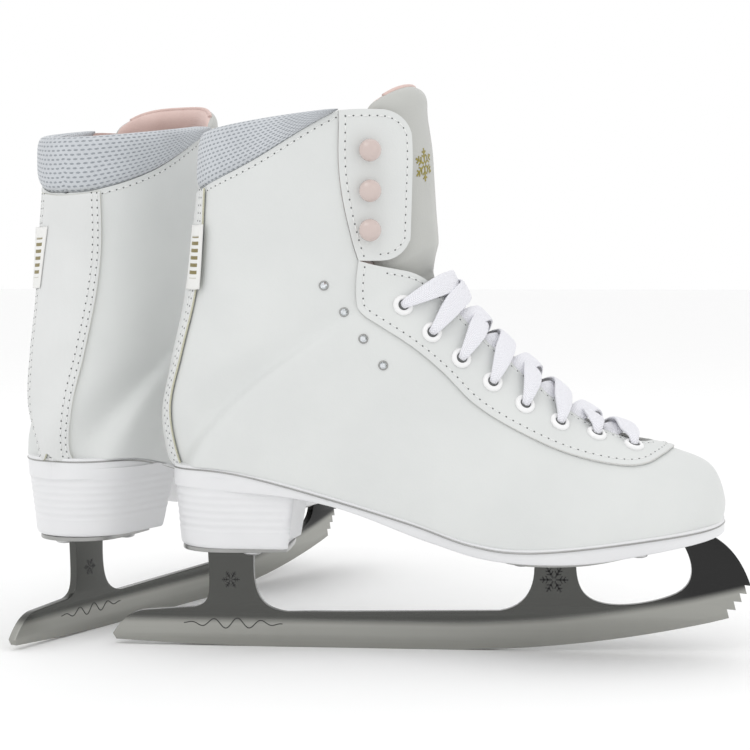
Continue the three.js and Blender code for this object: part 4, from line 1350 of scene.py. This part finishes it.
def flake(radius, thick):
    # six arms, each a bar with two slanted side bars
    def bar(x0, y0, x1, y1, half):
        # a flat box from one point to the other
        d = np.array([x1 - x0, y1 - y0])
        n = np.array([-d[1], d[0]]) / np.linalg.norm(d) * half
        flat = np.array([(x0, y0) - n, (x1, y1) - n, (x1, y1) + n, (x0, y0) + n])
        points = np.concatenate([np.pad(flat, ((0, 0), (0, 1)), constant_values=z) for z in (0, thick)])
        walls = [[i, (i + 1) % 4, (i + 1) % 4 + 4, i + 4] for i in range(4)]
        return points, [[3, 2, 1, 0], [4, 5, 6, 7], *walls]
    arm = [bar(0.12 * radius, 0, radius, 0, radius * 0.06)]
    for far, length in ((0.42, 0.26), (0.68, 0.22)):
        for sign in (1, -1):
            tip = (far + length * 0.6) * radius, sign * length * radius
            arm.append(bar(far * radius, 0, *tip, radius * 0.045))
    shells = []
    for i in range(6):
        c, s = math.cos(i * math.pi / 3), math.sin(i * math.pi / 3)
        turn = np.array([[c, s, 0], [-s, c, 0], [0, 0, 1]])
        shells += [(points @ turn, faces) for points, faces in arm]
    return mergeShells(shells)


def makeMarks(skate):
    # plain snowflakes stand in for the printed and etched marks
    shells = []
    for sign in (-1, 1):
        y = sign * blade["thick"] / 2
        axes = np.array([[-sign, 0, 0], [0, 0, 1], [0, sign, 0]])
        for x, z, radius in ((148.6, 33, 6.5), (0, 31, 4.2)):
            shells.append(spread(flake(radius, 0.08), np.array([[x, y, z]]), axes[None], skate))
        wave = np.linspace(0, 1, 160)
        swing = 2.4 * np.sin(wave * 26) * np.sin(wave * math.pi)
        tube, faces = tubeAlong(np.stack([-22 + 46 * wave, y + 0 * wave, 10.6 + swing], -1), 0.24, 8)
        shells.append((place(tube, skate), facesOut(faces, skate)))
    addPiece("etching", skate, mergeShells(shells), "dark", "blade_steel", smooth=False)
    # the tongue's mark follows the boot's curve: each point steps along u and w by its own distance
    u, w = findOnBoot([(90.5, 0, 222)])[0] + (0, 0.105)
    points, faces = flake(7.5, 0.35)
    lengthU = np.linalg.norm(bootPoint(u + 1e-3, w) - bootPoint(u, w)) * 1e3
    lengthW = np.linalg.norm(bootPoint(u, w + 1e-3) - bootPoint(u, w)) * 1e3
    skin = bootSkin(u + points[:, 0] / lengthU, w + points[:, 1] / lengthW, points[:, 2] - 2.5)
    mark = place(skin, skate), facesOut(faces, skate, True)
    addPiece("tongueMark", skate, mark, "gilt", "tongue_leather", "tongue", smooth=False)


for skate in skates:
    makeStitches(skate)
    makeFittings(skate)
    makeLabel(skate)
    makeLace(skate)
    makeMarks(skate)
print("fittings, threads and laces made; lace lengths in mm:", [round(length) for length in laceLengths])

floorCorners = [(x * 12, y * 12, 0) for x, y in ((-1, -1), (1, -1), (1, 1), (-1, 1))]
floor = makePiece("floor", floorCorners, [[0, 1, 2, 3]], ["floor"])
